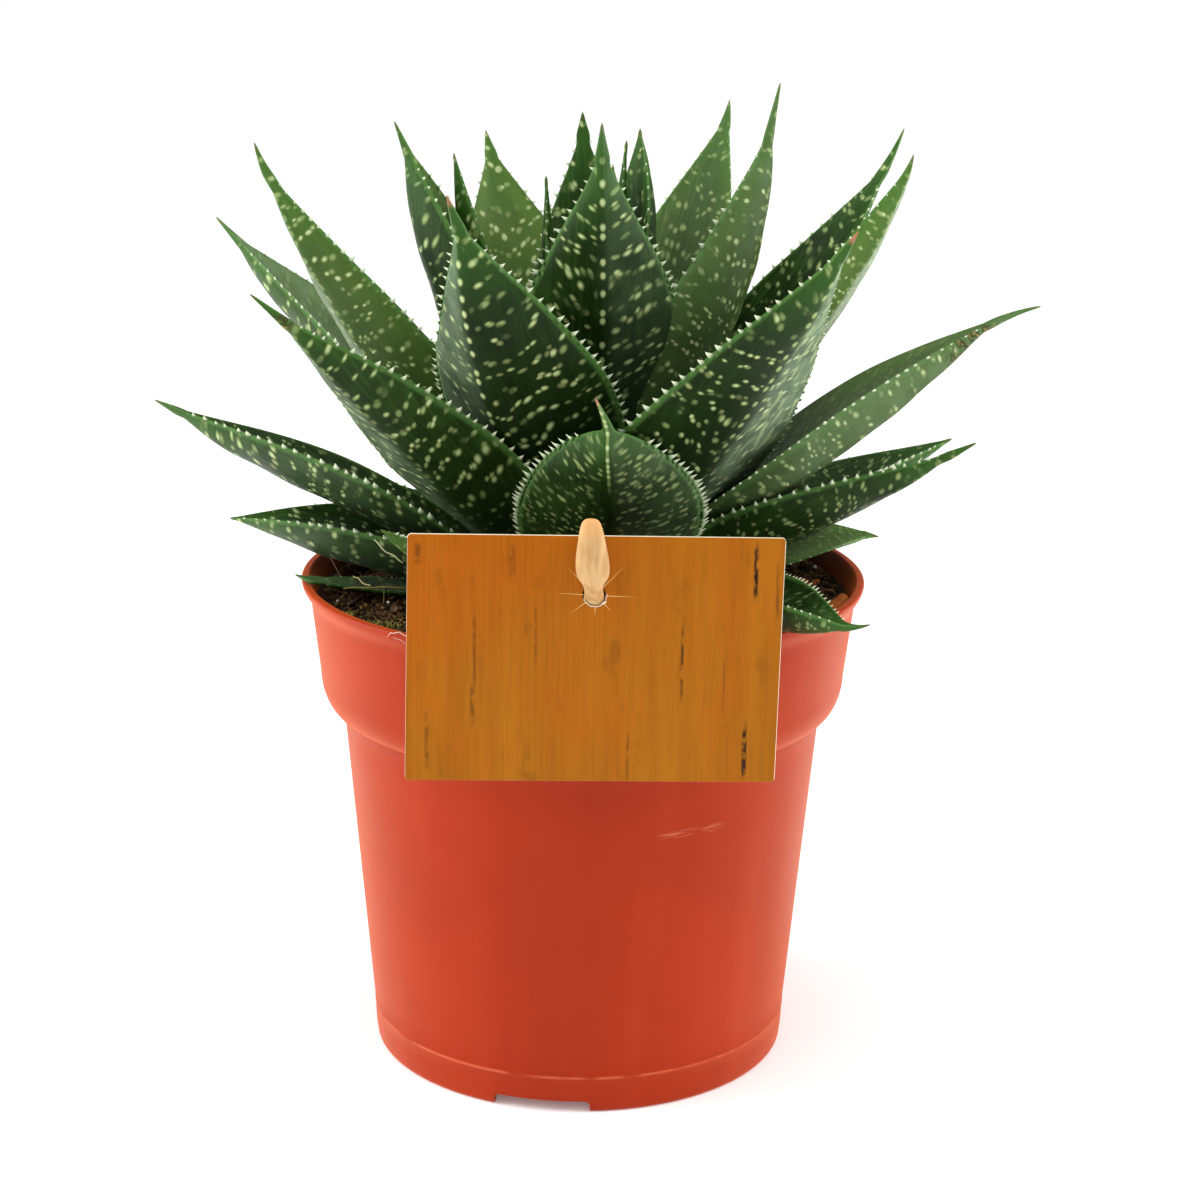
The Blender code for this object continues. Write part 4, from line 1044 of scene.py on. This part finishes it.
# Bark scales: thin curved plates, orange inside where they are freshly broken. Each has its middle
# and half size in mm, its turns in degrees and its shade.
BARK_SCALES = (
    ((53.2, -14.6, 103.0), (2.6, 1.5), (18, -24, 40), 1.05),
    ((33, 41, 102.6), (3.4, 2.2), (10, 12, 100), 0.4),
    ((-28, 45, 102.7), (3.8, 1.8), (-12, 8, 200), 0.4),
    ((48.0, 4.0, 102.4), (3.0, 1.6), (20, 10, 10), 0.4),
)
BARK_THICKNESS = 0.5
for number, (middle, half_size, angles, shade) in enumerate(BARK_SCALES, start=1):
    scale = begin("grid", f"bark_scale_{number}", x_subdivisions=14, y_subdivisions=8, size=2)
    for vertex in scale.data.vertices:
        x, y = vertex.co.x, vertex.co.y
        ragged = 1 + 0.16 * noise.noise(Vector((x * 2, y * 2, number)))
        rough = noise.noise(Vector((x * 1.6, y * 1.6, number + 5)))
        vertex.co = in_metres((
            x * half_size[0] * ragged, y * half_size[1] * ragged * (1 - 0.35 * x * x),
            0.5 * x * x - 0.7 * y * y + 0.35 * rough,
        ))
    modified(scale, "SOLIDIFY", thickness=BARK_THICKNESS * MM)
    scale.rotation_euler = [math.radians(angle) for angle in angles]
    scale.location = in_metres(middle)
    bpy.ops.object.transform_apply()
    mark(scale.data, shade=shade)
    soften(scale, 50)
    fit(scale, [shaded_stuff("broken_pine_bark", "#4e2410", "#b0602a", 0.7)], "soil")

# Label card
# A stiff coated card, 72.5 x 49 mm, printed with amber wood grain and nothing else. It was
# punched with a star of slits, and its white core shows at the cut edges and worn corners.
CARD_SIZE = (72.4, 0.7, 49.5)
CARD_MIDDLE = (2.25, -60.65, 104.0)
CARD_FRONT = -61.0
CARD_CORNER = 0.8
CARD_WEAR = 0.11
CARD_TURN = 1.0
CARD_SWING = -3.5
CARD_HOLE = (2.1, -60.65, 117.0)
CARD_HOLE_RADIUS = 2.25

card = begin("cube", "label_card", size=1, scale=in_metres(CARD_SIZE))
bpy.ops.object.transform_apply()
weights = card.data.attributes.new("bevel_weight_edge", "FLOAT", "EDGE")
for edge in card.data.edges:
    start, end = (card.data.vertices[i].co for i in edge.vertices)
    weights.data[edge.index].value = 1.0 if abs(start.y - end.y) > 0.5 * MM else 0.0
modified(card, "BEVEL", limit_method="WEIGHT", width=CARD_CORNER * MM, segments=5)
sharp = math.radians(60)
modified(card, "BEVEL", limit_method="ANGLE", angle_limit=sharp, width=CARD_WEAR * MM, segments=2)
card_swing = Matrix.Rotation(-math.radians(CARD_SWING), 4, "Z")
card_swing = card_swing @ Matrix.Rotation(math.radians(CARD_TURN), 4, "Y")
card_place = Matrix.Translation(in_metres(CARD_MIDDLE)) @ card_swing
card.matrix_world = card_place
bpy.ops.object.transform_apply()
punch = {"vertices": 48, "radius": CARD_HOLE_RADIUS * MM, "depth": 4 * MM, "rotation": (math.pi / 2, 0, 0)}
cut_out(card, begin("cylinder", "punch", location=in_metres(CARD_HOLE), **punch))
soften(card, 30)

# Coated card stock: smooth, half gloss, with an upright printed grain, orange and olive patches,
# and a few darker cracks between its printed boards.
print_ = material("wood_grain_print")
place = add("TexCoord").outputs["Object"]
x_at, _, z_at = add("SeparateXYZ", _0=place).outputs
grain = cloudy(place, (1500, 0, 55), 4.0)
boards = cloudy(place, (190, 0, 9), 3.0)
patches = cloudy(place, (45, 0, 38), 2.0)
stains = cloudy(place, (240, 0, 120), 4.0)
amber = coated(
    blend(ramp(boards, 0.25, 0.8), "#9c5b0b", "#ab6b10"),
    (ramp(patches, 0.4, 0.75, 0.0, 0.6), "#b25c08"),
    (times(ramp(z_at, 0.088, 0.127, 0.0, 0.55), ramp(x_at, -0.03, 0.03, 1.0, 0.35)), "#ac5208"),
    (fade(grain, 0.25, 0.6, 0.34), "#7a470a"),
    (ramp(stains, 0.56, 0.74, 0.0, 0.4), "#704008"),
)
# Cracks: middle x and z, half length and half width in mm, and how dark.
CRACKS = (
    (33.2, 121.5, 6.8, 0.4, 1.0), (19.3, 103.5, 9.5, 0.26, 0.75), (31.8, 85.0, 7.0, 0.42, 0.95),
    (-20.8, 106.0, 9.0, 0.3, 0.45), (-21.2, 95.0, 5.0, 0.35, 0.5), (-9.0, 110.0, 8.0, 0.25, 0.35),
    (9.0, 84.0, 6.0, 0.3, 0.4), (-30.0, 88.0, 7.0, 0.4, 0.4), (27.5, 98.0, 7.0, 0.2, 0.35),
    (-13.5, 124.0, 4.0, 0.6, 0.3), (-31.5, 125.5, 2.5, 0.6, 0.45), (37.5, 118.0, 7.0, 0.3, 0.4),
)
cracked = 0.0
for x, z, half_length, half_width, dark in CRACKS:
    beside = fade(apart(x_at, x * MM), 0.5 * half_width * MM, half_width * 1.6 * MM, dark)
    beyond = fade(apart(z_at, z * MM), 0.5 * half_length * MM, half_length * MM)
    cracked = sum_up("MAXIMUM", cracked, times(beside, beyond))
cracked = times(cracked, ramp(cloudy(place, (1100, 0, 420), 4.0), 0.35, 0.55))
press = cloudy(place, 900.0, 2.0)
relief = (0.06, 0.0001, press)
finish(print_, blend(cracked, amber, "#21150a"), relief, Roughness=0.45, Specular_IOR_Level=0.08)

# Card core: uncoated white paper board, a little fibrous where it was cut.
core = material("paper_core")
fuzz = cloudy(add("TexCoord").outputs["Object"], 1200.0, 3.0)
finish(core, blend(fuzz, "#d9c7a0", "#f3ead6"), Roughness=0.9)
fit(card, [print_, core], "card", "card")
for face in card.data.polygons:
    face.material_index = 0 if abs(face.normal.y) > 0.9 else 1


def laid_on_card(piece, stuff):
    """Bring a piece made round the card's middle to the card's place, and fit it."""
    take(piece)
    piece.matrix_world = card_place
    bpy.ops.object.transform_apply()
    fit(piece, [stuff], "card")


# The star of slits: each is a cut edge of the white core that stands up a little from the print.
# Direction in degrees and length in mm.
SLITS = ((358, 8.0), (47, 8.2), (135, 7.9), (177, 7.6), (218, 6.0), (271, 4.2), (316, 4.4))
spike = begin("cone", "slit", vertices=4, radius1=1, radius2=0, depth=1, location=(0, 0, 0.5))
bpy.ops.object.transform_apply()
slit_shape = read_mesh(spike)
places = []
for degrees, length in SLITS:
    turn = math.radians(degrees)
    out = np.array((math.cos(turn), 0, math.sin(turn)))
    start = np.array((CARD_HOLE[0], CARD_FRONT, CARD_HOLE[2])) + out * CARD_HOLE_RADIUS - CARD_MIDDLE
    axes = ((0, -1, 0), np.cross(out, (0, -1, 0)), out)
    places.append(standing(start * MM, axes, np.array((0.07, 0.11, length - 2)) * MM))
torn = material("torn_print_edge")
finish(torn, "#d2a45c", Roughness=0.9)
laid_on_card(scattered("card_slits", slit_shape, places), torn)

# The torn rim of the hole, pushed forward by the peg: a ragged lip of the core under it.
turns = np.radians(np.linspace(196, 368, 30))
ragged_radius = CARD_HOLE_RADIUS + 0.06 * np.sin(turns * 9) + 0.04 * np.sin(turns * 23)
flap = np.clip(1 - np.abs(np.degrees(turns) - 322) / 16, 0, 1)
forward = -0.42 - 0.1 * flap + 0.05 * np.sin(turns * 13)
rim = np.stack((np.cos(turns) * ragged_radius, forward, np.sin(turns) * ragged_radius), -1)
rim += np.array(CARD_HOLE) - CARD_MIDDLE
laid_on_card(strands("card_torn_rim", [strand(rim, 0.08 + 0.2 * flap, 8)], [0.9]), core)

# Peg
# A pale turned-wood peg: a flat spade-shaped head, a waist that passes through the card's hole,
# and a shaft that goes down behind the card into the soil.
# Middle x, y, z, half breadth and half depth in mm, from the head down.
PEG_SECTIONS = (
    (1.40, -65.95, 133.4, 0.8, 0.6), (1.40, -65.9, 133.15, 1.4, 0.95), (1.40, -65.7, 132.4, 1.95, 1.3),
    (1.5, -65.3, 130.2, 2.45, 1.6), (1.6, -64.8, 127.4, 2.9, 1.7), (1.7, -64.2, 124.8, 3.3, 1.7),
    (1.8, -63.9, 122.6, 3.35, 1.6), (1.88, -63.7, 121.1, 3.05, 1.5), (1.92, -63.5, 120.2, 2.3, 1.45),
    (1.95, -63.3, 119.6, 2.0, 1.4), (2.0, -63.0, 118.9, 1.85, 1.35), (2.1, -62.3, 118.0, 1.85, 1.3),
    (2.1, -61.5, 117.3, 1.95, 1.35), (2.1, -60.6, 116.5, 2.05, 1.4), (2.1, -59.6, 115.6, 2.0, 1.5),
    (2.1, -58.4, 114.0, 1.7, 1.6), (2.0, -44.9, 94.0, 1.6, 1.6), (1.82, -33.4, 77.7, 1.6, 1.6),
    (1.8, -31.8, 75.3, 0.4, 0.4),
)
peg = raised("label_peg", PEG_SECTIONS, 16)
modified(peg, "SUBSURF", levels=2, render_levels=2)
bpy.ops.object.shade_smooth()

# Pale moulded wood: cream, warmer at the top, with faint lengthwise grain.
wood = material("pale_peg_wood")
place = add("TexCoord").outputs["Object"]
grain = cloudy(place, (700, 700, 120), 3.0)
warmth = ramp(add("SeparateXYZ", _0=place).outputs["Z"], 0.128, 0.134, 0.0, 0.6)
cream = blend(warmth, blend(ramp(grain, 0.35, 0.7), "#bf9560", "#d4ae7a"), "#e3a566")
finish(
    wood, cream, (0.15, 0.0002, grain), Roughness=0.5, Specular_IOR_Level=0.25, Subsurface_Weight=0.15,
    Subsurface_Scale=0.002,
)
fit(peg, [wood], "peg", "peg")

# Room
# A plain pale table, a soft studio box at each side and a ceiling of silk, with the camera at the
# photograph's angle: about 57 cm away and 26 cm up, looking down 16 degrees.
SENSOR = 36
LENS = 82.5
CAMERA_PLACE = (0, -0.568, 0.261)
LOOK_DOWN = 15.95

table = begin("plane", "pale_table", size=40)
paint = material("matt_white_table")
white = (1, 1, 1, 1)
finish(
    paint, "#fbfbfa", Roughness=0.8, Specular_IOR_Level=0.2, Emission_Color=white, Emission_Strength=0.13
)
table.data.materials.append(paint)
table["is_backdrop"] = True


def set_up(name, data, place, turn):
    """Stand a lamp or camera in the room at a place in metres with its Euler turn."""
    made = bpy.data.objects.new(name, data)
    made.location, made.rotation_euler = place, turn
    bpy.context.scene.collection.objects.link(made)
    return made


BOX_TARGET = Vector((0, 0, 0.12))
for name, side, power in (("left_box", -1, 8.2), ("right_box", 1, 6.9)):
    lamp = bpy.data.lights.new(name, "AREA")
    lamp.shape = "RECTANGLE"
    lamp.size, lamp.size_y = 0.6, 0.9
    lamp.energy = power
    place = Vector((0.85 * side, -0.05, 0.4))
    set_up(name, lamp, place, (BOX_TARGET - place).to_track_quat("-Z", "Y").to_euler())
sky = bpy.data.lights.new("ceiling_of_silk", "SUN")
sky.energy = 2.15
sky.angle = math.radians(100)
set_up("ceiling_of_silk", sky, (0, 0, 0), (math.radians(18), math.radians(-8), 0))

world = bpy.data.worlds.new("white_studio")
bpy.context.scene.world = world
world.use_nodes = True
world.node_tree.nodes["Background"].inputs["Color"].default_value = white
world.node_tree.nodes["Background"].inputs["Strength"].default_value = 0.3
bpy.context.scene.view_settings.view_transform = "Standard"

camera_data = bpy.data.cameras.new("camera")
camera_data.sensor_width = SENSOR
camera_data.lens = LENS
camera_turn = (
    Matrix.Rotation(math.radians(-0.37), 3, "Z")
    @ Matrix.Rotation(math.radians(90 - LOOK_DOWN), 3, "X")
    @ Matrix.Rotation(math.radians(0.7), 3, "Z")
)
camera = set_up("camera", camera_data, CAMERA_PLACE, camera_turn.to_euler())
bpy.context.scene.camera = camera

visual_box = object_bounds()
boxes = {"cad": cad_box, "visual": visual_box}
